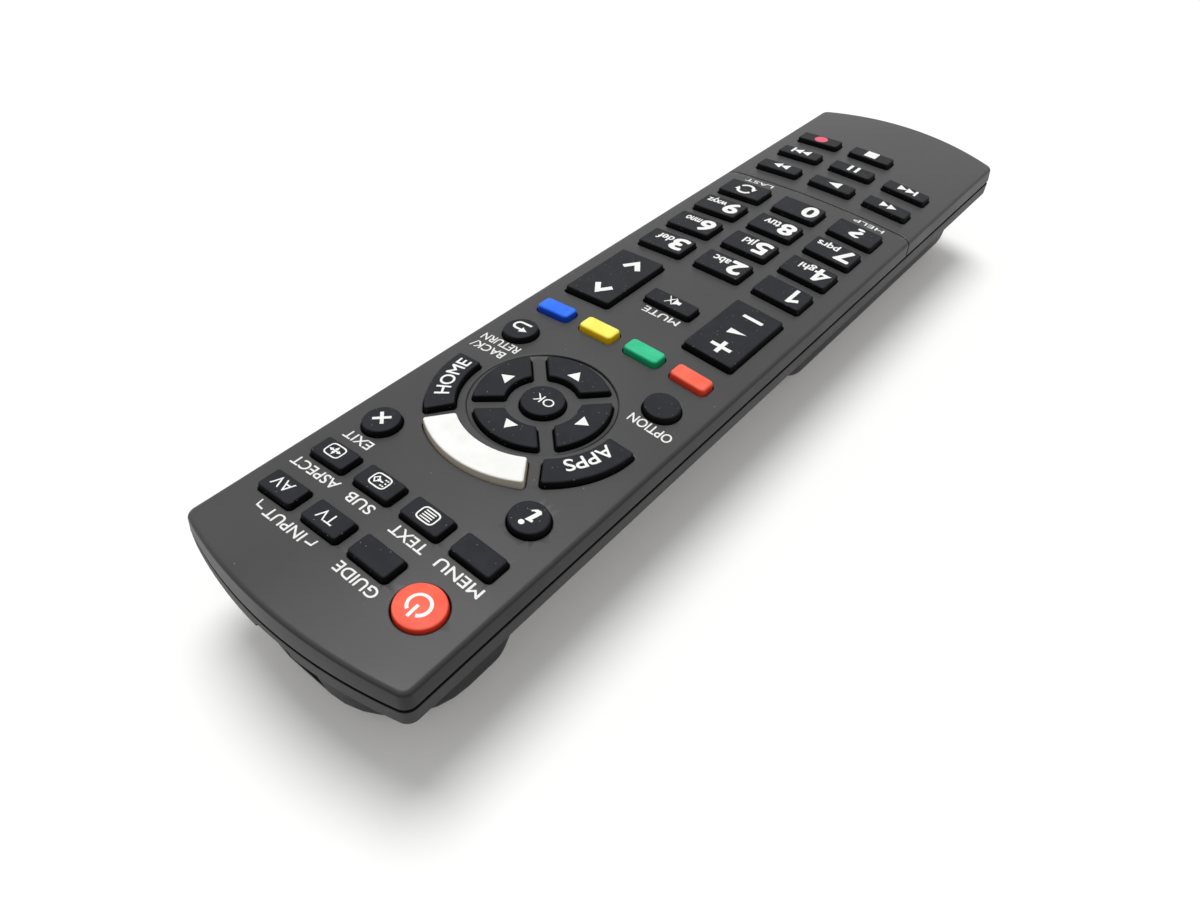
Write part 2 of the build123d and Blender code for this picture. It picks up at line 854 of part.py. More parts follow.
# Contact plates at the front of the bay, each with a leg up to the board
with BuildPart() as front_contacts:
    with BuildSketch(Plane(origin=(0, bay_front, 0), x_dir=(1, 0, 0), z_dir=(0, -1, 0))):
        for side in (-1, 1):
            with Locations((side * cell_spacing / 2, cell_axis_height)):
                Rectangle(contact_side, contact_side)
            with Locations((side * cell_spacing / 2, (cell_axis_height + board_bottom) / 2)):
                Rectangle(contact_leg, board_bottom - cell_axis_height)
    extrude(amount=contact_plate)

front_contacts.part.label = "front_contacts"
export_step(front_contacts.part, "parts/front_contacts.step")

# Plate that links the two cells at the back of the bay
with BuildPart() as link_contact:
    with Locations((0, bay_back, cell_axis_height)):
        Box(
            cell_spacing + contact_side,
            contact_plate,
            contact_side,
            align=(Align.CENTER, Align.MIN, Align.CENTER),
        )

link_contact.part.label = "link_contact"
export_step(link_contact.part, "parts/link_contact.step")

# Conical coil springs against the flat ends of the cells
with BuildPart() as battery_springs:
    for side, plate, way in ((1, bay_front - contact_plate, -1), (-1, bay_back + contact_plate, 1)):
        steps = spring_turns * spring_steps
        coil_points = []
        for step in range(steps + 1):
            share = step / steps
            angle = 2 * pi * step / spring_steps
            radius = spring_wide_radius + share * (spring_narrow_radius - spring_wide_radius)
            climb = spring_wire / 2 + share * (spring_length - spring_wire)
            coil_points.append(
                (
                    side * cell_spacing / 2 + radius * cos(angle),
                    plate + way * climb,
                    cell_axis_height + radius * sin(angle),
                )
            )
        with BuildLine() as coil:
            Polyline(*coil_points)
        with BuildSketch(Plane(origin=coil.line @ 0, x_dir=(0, 1, 0), z_dir=coil.line % 0)):
            Rectangle(spring_wire, spring_wire)
        sweep(path=coil.line, transition=Transition.RIGHT)

battery_springs.part.label = "battery_springs"
export_step(battery_springs.part, "parts/battery_springs.step")
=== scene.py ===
# TV remote control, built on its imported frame. Sizes in the dictionaries are millimetres.
import json
from math import atan2, cos, hypot, pi, radians, sin, sqrt, tan

import bmesh
import bpy
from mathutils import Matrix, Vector
from mathutils.geometry import delaunay_2d_cdt


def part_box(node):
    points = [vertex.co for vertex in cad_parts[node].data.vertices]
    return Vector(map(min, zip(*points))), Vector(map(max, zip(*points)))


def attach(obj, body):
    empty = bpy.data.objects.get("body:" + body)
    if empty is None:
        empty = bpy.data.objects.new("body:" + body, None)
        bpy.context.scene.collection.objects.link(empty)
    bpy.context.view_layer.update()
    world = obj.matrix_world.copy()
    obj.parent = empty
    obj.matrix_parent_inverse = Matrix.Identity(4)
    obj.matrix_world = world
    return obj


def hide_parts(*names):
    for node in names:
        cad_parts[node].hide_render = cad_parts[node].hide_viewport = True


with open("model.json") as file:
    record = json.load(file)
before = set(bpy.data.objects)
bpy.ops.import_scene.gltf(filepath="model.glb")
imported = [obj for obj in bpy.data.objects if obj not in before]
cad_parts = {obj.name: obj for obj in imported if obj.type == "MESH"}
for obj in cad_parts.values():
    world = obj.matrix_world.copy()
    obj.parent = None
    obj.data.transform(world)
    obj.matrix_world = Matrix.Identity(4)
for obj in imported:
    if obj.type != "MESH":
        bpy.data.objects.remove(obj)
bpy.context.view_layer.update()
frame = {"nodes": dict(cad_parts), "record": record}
mm = 0.001
print("frame loaded:", len(frame["nodes"]), "nodes")


def inScene(name, data):
    made = bpy.data.objects.new(name, data)
    bpy.context.scene.collection.objects.link(made)
    return made


viewpoint = {
    "place": (-75.08, 129.04, 122.1),
    "turn": (45.968, -2.461, -141.044),  # degrees
    "lens": 26.916,
    "sensor": 36.0,
    "nearest": 5.0,  # what is nearer isn't drawn
}
cameraData = bpy.data.cameras.new("photoCamera")
cameraData.lens = viewpoint["lens"]
cameraData.sensor_width = viewpoint["sensor"]
cameraData.clip_start = viewpoint["nearest"] * mm
camera = inScene("photoCamera", cameraData)
camera.location = Vector(viewpoint["place"]) * mm
camera.rotation_euler = [radians(angle) for angle in viewpoint["turn"]]
bpy.context.scene.camera = camera


def linear(hexColour):
    # sRGB to the linear colour that a socket takes
    shares = [int(hexColour[place : place + 2], 16) / 255 for place in (1, 3, 5)]
    shares = [share / 12.92 if share <= 0.04045 else ((share + 0.055) / 1.055) ** 2.4 for share in shares]
    return *shares, 1.0


def link(tree, node, links):
    # a node as the source means the first output that it has switched on
    for name, source in links.items():
        if isinstance(source, bpy.types.Node):
            source = next(output for output in source.outputs if output.enabled)
        tree.links.new(source, node.inputs[name])


def addNode(tree, kind, settings=None, links=None):
    # stops fill a colour ramp, a number names an input by its place
    node = tree.nodes.new("ShaderNode" + kind)
    for name, value in (settings or {}).items():
        if name == "stops":
            for element, (position, colour) in zip(node.color_ramp.elements, value):
                element.position, element.color = position, linear(colour)
        elif isinstance(name, int) or name in node.inputs:
            node.inputs[name].default_value = value
        else:
            setattr(node, name, value)
    link(tree, node, links or {})
    return node


def newMaterial(name, settings):
    material = bpy.data.materials.new(name)
    material.use_nodes = True
    tree = material.node_tree
    tree.nodes.clear()
    shader = addNode(tree, "BsdfPrincipled", settings)
    addNode(tree, "OutputMaterial", {}, {"Surface": shader})
    return material, tree, shader, addNode(tree, "TexCoord").outputs["Object"]


def perMetre(size):
    # a pattern's scale from its real size in millimetres
    return 1 / (size * mm)


def wallShare(tree, steep, level):
    # 1 on upright walls, 0 on what faces up: the share of painted shade that darkens the walls
    facing = addNode(tree, "NewGeometry")
    split = addNode(tree, "SeparateXYZ", {}, {"Vector": facing.outputs["Normal"]})
    fade = {"From Min": steep, "From Max": level, "To Min": 1.0, "To Max": 0.0}
    return addNode(tree, "MapRange", fade, {"Value": split.outputs["Z"]})


def withSpecks(tree, place, colour, specks):
    # pale specks over a colour, one in each cell of a pattern, or only in a share of the cells
    full, gone = specks["size"]
    cells = addNode(tree, "TexVoronoi", {"Scale": perMetre(specks["spacing"])}, {"Vector": place})
    fade = {"From Min": full, "From Max": gone, "To Min": specks["amount"], "To Max": 0.0}
    speck = addNode(tree, "MapRange", fade, {"Value": cells})
    if "share" in specks:
        few, many = specks["share"]
        value = cells.outputs["Color"]
        chosen = addNode(tree, "MapRange", {"From Min": few, "From Max": many}, {"Value": value})
        speck = addNode(tree, "Math", {"operation": "MULTIPLY"}, {0: speck, 1: chosen})
    over = {"data_type": "RGBA", "B": linear(specks["colour"])}
    return addNode(tree, "Mix", over, {"Factor": speck, "A": colour})


def moulded(name, finish, colours, roughness, specular, specks=None):
    # colours are those of the face, the face where worn, and the walls, which are darker as painted shade
    shine = {"Roughness": roughness, "IOR": finish["ior"], "Specular IOR Level": specular}
    material, tree, shader, place = newMaterial(name, shine)
    size, detail = finish["patch"]
    patches = addNode(tree, "TexNoise", {"Scale": perMetre(size), "Detail": detail}, {"Vector": place})
    worn = addNode(tree, "ValToRGB", {"stops": zip(finish["wornAt"], colours)}, {"Fac": patches})
    # painted shade: the more upright a wall is, the more it takes the darker wall colour
    over = {"data_type": "RGBA", "B": linear(colours[2])}
    colour = addNode(tree, "Mix", over, {"Factor": wallShare(tree, *finish["shadedWalls"]), "A": worn})
    if specks:
        colour = withSpecks(tree, place, colour, specks)
    size, depth, strength = finish["grain"]
    grain = addNode(tree, "TexNoise", {"Scale": perMetre(size), "Detail": 2.0}, {"Vector": place})
    bump = addNode(tree, "Bump", {"Strength": strength, "Distance": depth * mm}, {"Height": grain})
    link(tree, shader, {"Base Color": colour, "Normal": bump})
    if "roughnessSpread" in finish:
        (low, high), (less, more) = finish["roughnessSpread"]
        spread = {"From Min": low, "From Max": high, "To Min": roughness + less, "To Max": roughness + more}
        link(tree, shader, {"Roughness": addNode(tree, "MapRange", spread, {"Value": patches})})
    return material


# ABS, moulded in a spark-eroded tool: the fine even grain spreads the highlights, so that the
# face looks satin, its walls are painted darker as shade, and hands and pockets leave pale
# dust and slightly shinier patches
absFinish = {
    # the face, the face where worn, the walls with painted shade
    "upper": ("#414142", "#454546", "#222223"),
    "lower": ("#343435", "#39393a", "#333334"),
    "ior": 1.52,
    "specular": 0.18,
    "upperRoughness": 0.38,
    "lowerRoughness": 0.5,
    "roughnessSpread": ((0.3, 0.7), (-0.04, 0.05)),  # over these values of the patches, less to more
    # where the painted wall shade fades in, by how far the normal points up
    "shadedWalls": (0.5, 0.95),  # of a normal that points up: all wall, all face
    "patch": (14.0, 3.0),  # size, detail
    "wornAt": (0.35, 0.7),
    # size, depth, strength: the real grain is near 0.05 wide, and this is the finest that shows
    "grain": (0.22, 0.04, 0.22),
    # size is a share of the spacing: how far out a speck is full, and where it has faded
    "dust": {"spacing": 3.3, "size": (0.0, 0.045), "amount": 1.0, "colour": "#8a8a88"},
}
upperAbs, lowerAbs = (
    moulded(
        "mouldedAbs" + half.capitalize(),
        absFinish,
        absFinish[half],
        absFinish[half + "Roughness"],
        absFinish["specular"],
        absFinish["dust"],
    )
    for half in ("upper", "lower")
)

# Silicone rubber, compression moulded: matte and soft-looking, with painted shade that makes the sides
# darker and deeper in colour than the tops, paler patches where fingers have polished the tops, and pale
# lint on the black keys
silicone = {
    "colours": {
        # the top, the top where worn, and the sides, darker or deeper in colour as painted shade
        "black": ("#1f2024", "#25262a", "#060607"),
        "power": ("#f4604a", "#fa6c54", "#f5432a"),
        "red": ("#f5644c", "#fb7058", "#f54c32"),
        "green": ("#30be88", "#3cc896", "#1fae76"),
        "yellow": ("#fdee5c", "#fff678", "#ffcc12"),
        "blue": ("#286ef2", "#387cf8", "#184fdc"),
        "white": ("#efefec", "#f6f6f4", "#e2d8c6"),
    },
    "ior": 1.41,
    "blackShine": (0.58, 0.16),  # roughness, specular
    "colourShine": (0.42, 0.22),
    # where the painted shade of the sides fades in, by how far the normal points up
    "shadedWalls": (0.35, 0.85),
    "patch": (3.0, 4.0),
    "wornAt": (0.35, 0.68),
    "grain": (0.12, 0.03, 0.16),
    # share: only in the cells whose own value, from 0 to 1, is over it
    "lint": {
        "spacing": 0.75,
        "size": (0.06, 0.11),
        "share": (0.5, 0.56),
        "amount": 0.8,
        "colour": "#a4a4a2",
    },
}
rubber = {}
for tint, colours in silicone["colours"].items():
    shine = silicone["blackShine" if tint == "black" else "colourShine"]
    lint = silicone["lint"] if tint == "black" else None
    rubber[tint] = moulded("silicone" + tint.capitalize(), silicone, colours, *shine, lint)


mottling = {"stops": (0.32, 0.66), "detail": 4.0, "pitStrength": 0.2}


def mottled(name, settings, colours, size, roughness, stretch=(1, 1, 1), pits=0):
    # a noise between two colours and two roughnesses, with pits that deep where the surface has them
    material, tree, shader, place = newMaterial(name, settings)
    stretched = addNode(tree, "Mapping", {"Scale": stretch}, {"Vector": place})
    grain = {"Scale": perMetre(size), "Detail": mottling["detail"]}
    noise = addNode(tree, "TexNoise", grain, {"Vector": stretched})
    shade = addNode(tree, "ValToRGB", {"stops": zip(mottling["stops"], colours)}, {"Fac": noise})
    rough = addNode(tree, "MapRange", {"To Min": roughness[0], "To Max": roughness[1]}, {"Value": noise})
    link(tree, shader, {"Base Color": shade, "Roughness": rough})
    if pits:
        depth = {"Strength": mottling["pitStrength"], "Distance": pits * mm}
        bump = addNode(tree, "Bump", depth, {"Height": noise})
        link(tree, shader, {"Normal": bump})
    return material


# Screen-printing ink: flat and opaque, a little uneven where the mesh of the screen laid it down
ink = {"IOR": 1.48}
keyInk = mottled("screenInkWhite", ink, ("#e8e8e6", "#f4f4f2"), 0.25, (0.47, 0.53))
faceInk = mottled("screenInkFace", ink, ("#dcdcda", "#eeeeec"), 0.25, (0.47, 0.53))
recordInk = mottled("screenInkRed", ink, ("#d84a60", "#e8586c"), 0.25, (0.47, 0.53))

# Nickel-plated spring steel: bright, with faint lines along the way that it was rolled or drawn
metal = {"Metallic": 1.0}
nickelSteel = mottled("nickelPlatedSteel", metal, ("#b9b8b2", "#d2d1cb"), 0.4, (0.2, 0.38), (1, 0.08, 1))
# Copper-coloured foil under the clear sleeve of a cell
copperFoil = mottled("copperFoilBand", metal, ("#a5622f", "#b8733c"), 0.8, (0.27, 0.45), (1, 0.08, 1))

# Shrink sleeve of a cell: printed film, dark and glossy, slightly drawn over the can
sleeveFilm = {"IOR": 1.5, "Coat Weight": 0.3}
cellSleeve = mottled("printedSleeve", sleeveFilm, ("#26303b", "#2c3743"), 6.0, (0.25, 0.35))

# Glass-epoxy board under green solder mask: semi-gloss, with the weave just showing
plastic = {"IOR": 1.5}
solderMask = mottled("solderMaskBoard", plastic, ("#1e5a34", "#276b40"), 1.2, (0.3, 0.4), pits=0.03)
# Transfer-moulded epoxy: dull and finely pitted
mouldedEpoxy = mottled("mouldedEpoxyChip", plastic, ("#1b1b1c", "#232324"), 0.3, (0.45, 0.55), pits=0.03)
# Silicone mat, compression moulded: dull dark grey
matSilicone = mottled("siliconeMat", plastic, ("#2a2a2b", "#323233"), 0.8, (0.55, 0.65), pits=0.03)
# Smoked epoxy, cast: almost black and glossy, with a violet cast
smokedEpoxy = mottled("smokedEpoxyLamp", plastic, ("#0d0a12", "#17121f"), 2.0, (0.08, 0.16))
print("materials made")

meshing = {"weld": 0.002, "flatWeight": 60}


def meshFrom(shape, name, materials=()):
    mesh = bpy.data.meshes.new(name)
    shape.to_mesh(mesh)
    shape.free()
    for material in materials:
        mesh.materials.append(material)
    return mesh


def newObject(name, mesh, body, slotName=None, nodes=()):
    piece = inScene(name, mesh)
    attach(piece, body)
    if nodes:
        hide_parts(*nodes)
    return piece


def newPiece(name, shape, materials, smoothAngle, body, slotName, node, flatFaces=True):
    # shape is a bmesh in millimetres, and flatFaces keeps flat faces flat beside rounded edges
    bmesh.ops.remove_doubles(shape, verts=shape.verts, dist=meshing["weld"])
    bmesh.ops.recalc_face_normals(shape, faces=shape.faces)
    bmesh.ops.scale(shape, vec=(mm, mm, mm), verts=shape.verts)
    mesh = meshFrom(shape, name, materials)
    mesh.shade_smooth()
    mesh.set_sharp_from_angle(angle=radians(smoothAngle))
    piece = newObject(name, mesh, body, slotName, [node])
    if flatFaces:
        weighted = piece.modifiers.new("evenNormals", "WEIGHTED_NORMAL")
        weighted.keep_sharp = True
        weighted.weight = meshing["flatWeight"]


def addRings(shape, rings, closed=False):
    # rings are loops of points with the same count, joined in order, and closed fills the two ends
    loops = [[shape.verts.new(point) for point in ring] for ring in rings]
    count = len(loops[0])
    for lower, upper in zip(loops, loops[1:]):
        for place in range(count):
            follow = (place + 1) % count
            shape.faces.new((lower[place], lower[follow], upper[follow], upper[place]))
    if closed:
        shape.faces.new(list(reversed(loops[0])))
        shape.faces.new(loops[-1])


def addPrism(shape, outline, axis, start, end):
    # outline is in the two directions that axis leaves: YZ for x, XZ for y, XY for z
    place = "xyz".index(axis)
    rings = [[(*point[:place], depth, *point[place:]) for point in outline] for depth in (start, end)]
    addRings(shape, rings, closed=True)
    return shape


def changedMesh(holder):
    bpy.context.view_layer.update()
    return bpy.data.meshes.new_from_object(holder.evaluated_get(bpy.context.evaluated_depsgraph_get()))


def solidFrom(shape, name):
    # a helper object in millimetres, for the booleans
    bmesh.ops.recalc_face_normals(shape, faces=shape.faces)
    return inScene(name, meshFrom(shape, name))


def boxSolid(name, low, high):
    shape = bmesh.new()
    spots = [(x, y, z) for z in (low[2], high[2]) for y in (low[1], high[1]) for x in (low[0], high[0])]
    corners = [shape.verts.new(spot) for spot in spots]
    for face in ((0, 2, 3, 1), (4, 5, 7, 6), (0, 1, 5, 4), (2, 6, 7, 3), (0, 4, 6, 2), (1, 3, 7, 5)):
        shape.faces.new([corners[corner] for corner in face])
    return solidFrom(shape, name)


def combine(target, others, operation):
    # one boolean with each of the others, which then go
    for other in others:
        step = target.modifiers.new(operation, "BOOLEAN")
        step.operation = operation
        step.solver = "EXACT"
        step.object = other
    result = changedMesh(target)
    target.modifiers.clear()
    target.data = result
    for other in others:
        bpy.data.objects.remove(other)


def takeShape(piece):
    shape = bmesh.new()
    shape.from_mesh(piece.data)
    bpy.data.objects.remove(piece)
    return shape


def arcPoints(centre, radius, start, end, steps):
    turns = [start + (end - start) * step / steps for step in range(steps + 1)]
    return [(centre[0] + radius * cos(turn), centre[1] + radius * sin(turn)) for turn in turns]


def circle(centre, radius, steps):
    return arcPoints(centre, radius, 0, 2 * pi, steps)[:-1]


def edgeRound(radius, steps):
    # a quarter circle: the first distance grows to the radius while the second shrinks to nothing
    turns = [pi / 2 * step / steps for step in range(steps + 1)]
    return [(radius * (1 - cos(turn)), radius * (1 - sin(turn))) for turn in turns]


def lifted(loop, surface, drop=0.0):
    # surface is a height, or a function that gives the height at a place
    return [(x, y, (surface(x, y) if callable(surface) else surface) - drop) for x, y in loop]


caseForm = {
    "length": 200.0,
    "width": 47.4,
    "height": 24.0,
    "crown": 229.0,  # the face's radius across
    "infraredEnd": 84.0,  # the radii of both ends and of the corners in plan
    "batteryEnd": 68.0,
    "corner": 2.1,
    "leastCorner": 0.12,
    "cornerSteps": 7,
    "endSteps": 26,
    "sideSteps": (10, 30),  # behind and in front of the groove
    "draft": 5.0,  # degrees
    "edge": 0.78,
    "edgeSteps": 6,
    "edgeZone": 2.0,  # from the top, where the groove cuts down as well as in
    "wallDrop": 0.6,  # how much lower the crown is at the sides
    "seamTop": 19.66,
    "seamBottom": 19.0,
    "seamEdge": ((1.0, 0.0), (0.16, 0.0), (0.04, 0.06), (0.015, 0.2)),  # inset, and height over the seam
    "faceUnderside": 21.9,
    "ringY": 45.0,
    "dishY": 44.6,
    "dishRadius": 12.6,
    "dishSphere": 227.0,  # the dish is a part of a sphere with this radius
    "dishDepth": 0.9,
    # how far outside the dish's radius, and how far under the face or the dish
    "dishLip": ((0.4, 0.0), (0.25, 0.03), (0.12, 0.12), (0.03, 0.25)),
    "dishFoot": ((0.0, -0.08), (-0.1, 0.0)),
    "faceMesh": 1.6,
    "dishMesh": 1.2,
}
# the line between the number keys and the transport keys, which turns up at both sides
grooveForm = {
    "y": -48.8,
    "depth": 0.32,
    "halfWidth": 0.26,
    "steps": (-0.28, -0.19, -0.12, -0.05, 0.05, 0.12, 0.19, 0.28),
    "clear": 0.7,  # where the rest of the outline's points begin
    "turnFrom": 20.4,
    "turnOver": 3.3,
    "turnRise": 1.3,
}


def grooveLine(x):
    past = max(abs(x) - grooveForm["turnFrom"], 0) / grooveForm["turnOver"]
    return grooveForm["y"] + grooveForm["turnRise"] * past**2


def grooveDepth(x, y):
    away = min(abs(y - grooveLine(x)) / grooveForm["halfWidth"], 1)
    return grooveForm["depth"] * (1 - away * away * (3 - 2 * away))


def planOutline(inset, corner=0.0):
    # anticlockwise from the back of the right side
    half = caseForm["width"] / 2 - inset
    corner = max(corner or caseForm["corner"] - inset, caseForm["leastCorner"])
    cornerX = half - corner
    ends = []
    for endRadius in (caseForm["infraredEnd"], caseForm["batteryEnd"]):
        radius, middle = endRadius - inset, caseForm["length"] / 2 - endRadius
        cornerY = middle + sqrt((radius - corner) ** 2 - cornerX**2)
        ends.append((radius, middle, cornerY, atan2(cornerY - middle, cornerX)))
    front, back = ends[0][2], -ends[1][2]
    line, clear = grooveLine(half), grooveForm["clear"]
    below, above = caseForm["sideSteps"]
    levels = [back + (line - clear - back) * step / below for step in range(1, below + 1)]
    levels += [line + step for step in grooveForm["steps"]]
    levels += [line + clear + (front - line - clear) * step / above for step in range(above)]
    steps = caseForm["cornerSteps"]
    loop = []
    for way, turn, (radius, middle, cornerY, lean) in zip((1, -1), (0, pi), ends):
        loop += [(way * half, y) for y in levels[::way]]
        loop += arcPoints((way * cornerX, way * cornerY), corner, turn, turn + lean, steps)
        around = arcPoints((0, way * middle), radius, turn + lean, turn + pi - lean, caseForm["endSteps"])
        loop += around[1:-1]
        loop += arcPoints((-way * cornerX, way * cornerY), corner, turn + pi - lean, turn + pi, steps)
    return loop


def crownHeight(x, y=0.0):
    # the same all along y
    return caseForm["height"] - caseForm["crown"] + sqrt(caseForm["crown"] ** 2 - x**2)


def dishHeight(radius):
    sphere = caseForm["dishSphere"]
    return caseForm["height"] - caseForm["dishDepth"] + sphere - sqrt(sphere**2 - radius**2)


def crownSurface(x, y):
    return crownHeight(x) - grooveDepth(x, y)


def dishSurface(x, y):
    return dishHeight(hypot(x, y - caseForm["dishY"]))


keyPlan = {
    "rise": 1.15,
    "powerRise": 1.1,
    "inset": 0.15,  # the rubber is that much smaller all round than the hole it stands in
    "gap": 0.02,
    "rockerEndGap": 0.22,
    "leastCorner": 0.1,
    "fourPitch": 10.2,
    "threePitch": 13.85,
    # width, length, corner
    "smallKey": (8.1, 4.6, 0.8),
    "colourKey": (7.75, 4.05, 1.1),
    "numberKey": (10.8, 7.0, 0.75),
    "transportKey": (10.8, 4.5, 0.75),
    "muteKey": (10.8, 4.4, 0.75),
    "rocker": (10.8, 18.6, 0.75),
    # inner and outer radius, corner
    "arrowRing": (6.2, 11.85, 0.6),
    "outerRing": (13.95, 19.7, 0.7),
    "arrowGap": 1.2,
    "outerGap": 1.5,
    "whiteGap": 0.5,
    "outerSplit": 54.0,  # degrees
    "outerOverrun": 0.6,
    # points of an outline: each corner, a round key, an arc key's corners, outer and inner side
    "cornerSteps": 6,
    "roundSteps": 56,
    "arcSteps": (5, 20, 14),
}
blockRows = (
    (("", "guide_key", "tv_key", "av_key"), "fourPitch", 84.75, "smallKey"),
    (("menu_key", "text_key", "subtitle_key", "aspect_key"), "fourPitch", 75.25, "smallKey"),
    (("red_key", "green_key", "yellow_key", "blue_key"), "fourPitch", 23.3, "colourKey"),
    (("", "mute_key", ""), "threePitch", 7.95, "muteKey"),
    (("volume_rocker", "", "channel_rocker"), "threePitch", 7.45, "rocker"),
    (("digit_1_key", "digit_2_key", "digit_3_key"), "threePitch", -9.95, "numberKey"),
    (("digit_4_key", "digit_5_key", "digit_6_key"), "threePitch", -20.02, "numberKey"),
    (("digit_7_key", "digit_8_key", "digit_9_key"), "threePitch", -30.09, "numberKey"),
    (("help_key", "digit_0_key", "last_view_key"), "threePitch", -40.16, "numberKey"),
    (("rewind_key", "play_key", "fast_forward_key"), "threePitch", -55.5, "transportKey"),
    (("previous_key", "pause_key", "next_key"), "threePitch", -65.4, "transportKey"),
    (("", "stop_key", "record_key"), "threePitch", -75.3, "transportKey"),
)
roundKeys = {
    "power_key": (-15.3, 86.25, 4.0),
    "info_key": (-15.9, 65.5, 3.4),
    "exit_key": (15.9, 65.5, 3.4),
    "option_key": (-15.9, 32.7, 3.4),
    "back_key": (15.9, 32.7, 3.4),
    "ok_key": (0.0, 44.6, 4.0),
}


def blockOutline(key, grow):
    halfWidth = key["width"] / 2 + grow
    halfLength = key["length"] / 2 + grow + (key["endGrow"] if grow > 0 else 0)
    corner, steps = max(key["corner"] + grow, keyPlan["leastCorner"]), keyPlan["cornerSteps"]
    loop = []
    for turn, (signX, signY) in enumerate(((1, 1), (-1, 1), (-1, -1), (1, -1))):
        centre = (key["x"] + signX * (halfWidth - corner), key["y"] + signY * (halfLength - corner))
        loop += arcPoints(centre, corner, turn * pi / 2, (turn + 1) * pi / 2, steps)
    return loop


def roundOutline(key, grow):
    return circle((key["x"], key["y"]), key["radius"] + grow, keyPlan["roundSteps"])


def arcOutline(key, grow):
    corner = max(key["corner"] + grow, keyPlan["leastCorner"])
    outer, inner = key["outer"] + grow - corner, key["inner"] - grow + corner
    cornerSteps, outerSteps, innerSteps = keyPlan["arcSteps"]
    start, end = radians(key["start"]), radians(key["end"])
    along = {"start": Vector((cos(start), sin(start))), "end": Vector((cos(end), sin(end)))}
    normal = {"start": Vector((-sin(start), cos(start))), "end": Vector((sin(end), -cos(end)))}
    offset = {side: key[side + "Inset"] - grow + corner for side in ("start", "end")}

    def meet(side, radius):
        return normal[side] * offset[side] + along[side] * sqrt(radius**2 - offset[side] ** 2)

    def bend(point, first, last):
        begin = atan2(first.y, first.x)
        turn = (atan2(last.y, last.x) - begin) % (2 * pi)
        return arcPoints(point, corner, begin, begin + turn, cornerSteps)

    def sweep(first, last, way, radius, steps):
        begin, finish = atan2(first.y, first.x), atan2(last.y, last.x)
        finish += way * 2 * pi if (finish - begin) * way < 0 else 0
        return arcPoints((0, 0), radius, begin, finish, steps)[1:-1]

    outerStart, outerEnd = meet("start", outer), meet("end", outer)
    innerStart, innerEnd = meet("start", inner), meet("end", inner)
    loop = bend(outerStart, -normal["start"], outerStart)
    loop += sweep(outerStart, outerEnd, 1, outer + corner, outerSteps)
    loop += bend(outerEnd, outerEnd, -normal["end"]) + bend(innerEnd, -normal["end"], -innerEnd)
    loop += sweep(innerEnd, innerStart, -1, inner - corner, innerSteps)
    loop += bend(innerStart, -innerStart, -normal["start"])
    return [(x, y + key["middle"]) for x, y in loop]


keys = {}


def planKey(name, outline, x, y, rise="rise", dished=False, **size):
    # a key's top is the plane that touches the face, or the dish, over its middle
    if dished:
        aside = (x, y - caseForm["dishY"])
        height, slopes = dishHeight(hypot(*aside)), [way / caseForm["dishSphere"] for way in aside]
    else:
        height, slopes = crownHeight(x), (-x / caseForm["crown"], 0.0)
    top = (height + keyPlan[rise], *slopes)
    keys[name] = {"outline": outline, "x": x, "y": y, "top": top, "dished": dished, **size}


def planArc(name, ring, middle, start, startInset, end, endInset, outerTrim=0.0, dished=False):
    inner, outer, corner = ring
    angle, radius = radians((start + end) / 2), (inner + outer) / 2
    x, y = radius * cos(angle), middle + radius * sin(angle)
    size = {"middle": middle, "inner": inner, "outer": outer - outerTrim, "corner": corner}
    ends = {"start": start, "end": end, "startInset": startInset, "endInset": endInset}
    planKey(name, arcOutline, x, y, dished=dished, **size, **ends)


for names, pitchName, rowY, sizeName in blockRows:
    width, length, corner = keyPlan[sizeName]
    endGrow = keyPlan["rockerEndGap"] - keyPlan["gap"] if sizeName == "rocker" else 0
    for place, name in enumerate(names):
        x = (place - (len(names) - 1) / 2) * keyPlan[pitchName]
        if name:
            size = {"width": width, "length": length, "corner": corner, "endGrow": endGrow}
            planKey(name, blockOutline, x, rowY, **size)
for name, (x, y, radius) in roundKeys.items():
    rise = "powerRise" if name == "power_key" else "rise"
    planKey(name, roundOutline, x, y, rise, name == "ok_key", radius=radius)
gap = keyPlan["arrowGap"]
for place, name in enumerate(("up", "left", "down", "right")):
    start = 45 + 90 * place
    ends = (start, gap, start + 90, gap)
    planArc(name + "_arrow_key", keyPlan["arrowRing"], caseForm["dishY"], *ends, dished=True)
split, overrun = keyPlan["outerSplit"], keyPlan["outerOverrun"]
gap, whiteGap = keyPlan["outerGap"], keyPlan["whiteGap"]
# where each starts and ends, each with its inset, and how far its outer edge lies further in
for name, *ends in (
    ("home_key", 0, -overrun, split, gap, 0.3),
    ("shortcut_key", split, whiteGap, 180 - split, whiteGap, -0.12),
    ("apps_key", 180 - split, gap, 180, -overrun, 0.25),
):
    planArc(name, keyPlan["outerRing"], caseForm["ringY"], *ends)
print("keys planned:", len(keys))


def topOf(key):
    height, slopeX, slopeY = key["top"]
    return lambda x, y: height + slopeX * (x - key["x"]) + slopeY * (y - key["y"])


openingEdge = {"round": 0.22, "steps": 3}
sheetForm = {
    "lengthwise": 2,  # the grid is that much coarser along the remote, where the face is straight
    # how far its points stay from the openings, the outline and the groove
    "keyMargin": 0.3,
    "shrinkX": 0.985,
    "shrinkY": 0.997,
    "grooveMargin": 0.8,
    "grooveReach": 44,  # points along the groove each way, each half a millimetre
    "same": 1e-5,  # points nearer than that become one
}


def inside(point, loop):
    x, y = point
    hit = False
    for (x0, y0), (x1, y1) in zip(loop, loop[1:] + loop[:1]):
        if (y0 > y) != (y1 > y) and x < x0 + (y - y0) * (x1 - x0) / (y1 - y0):
            hit = not hit
    return hit


def boxAround(loop, margin=0.0):
    xs, ys = [p[0] for p in loop], [p[1] for p in loop]
    return min(xs) - margin, max(xs) + margin, min(ys) - margin, max(ys) + margin


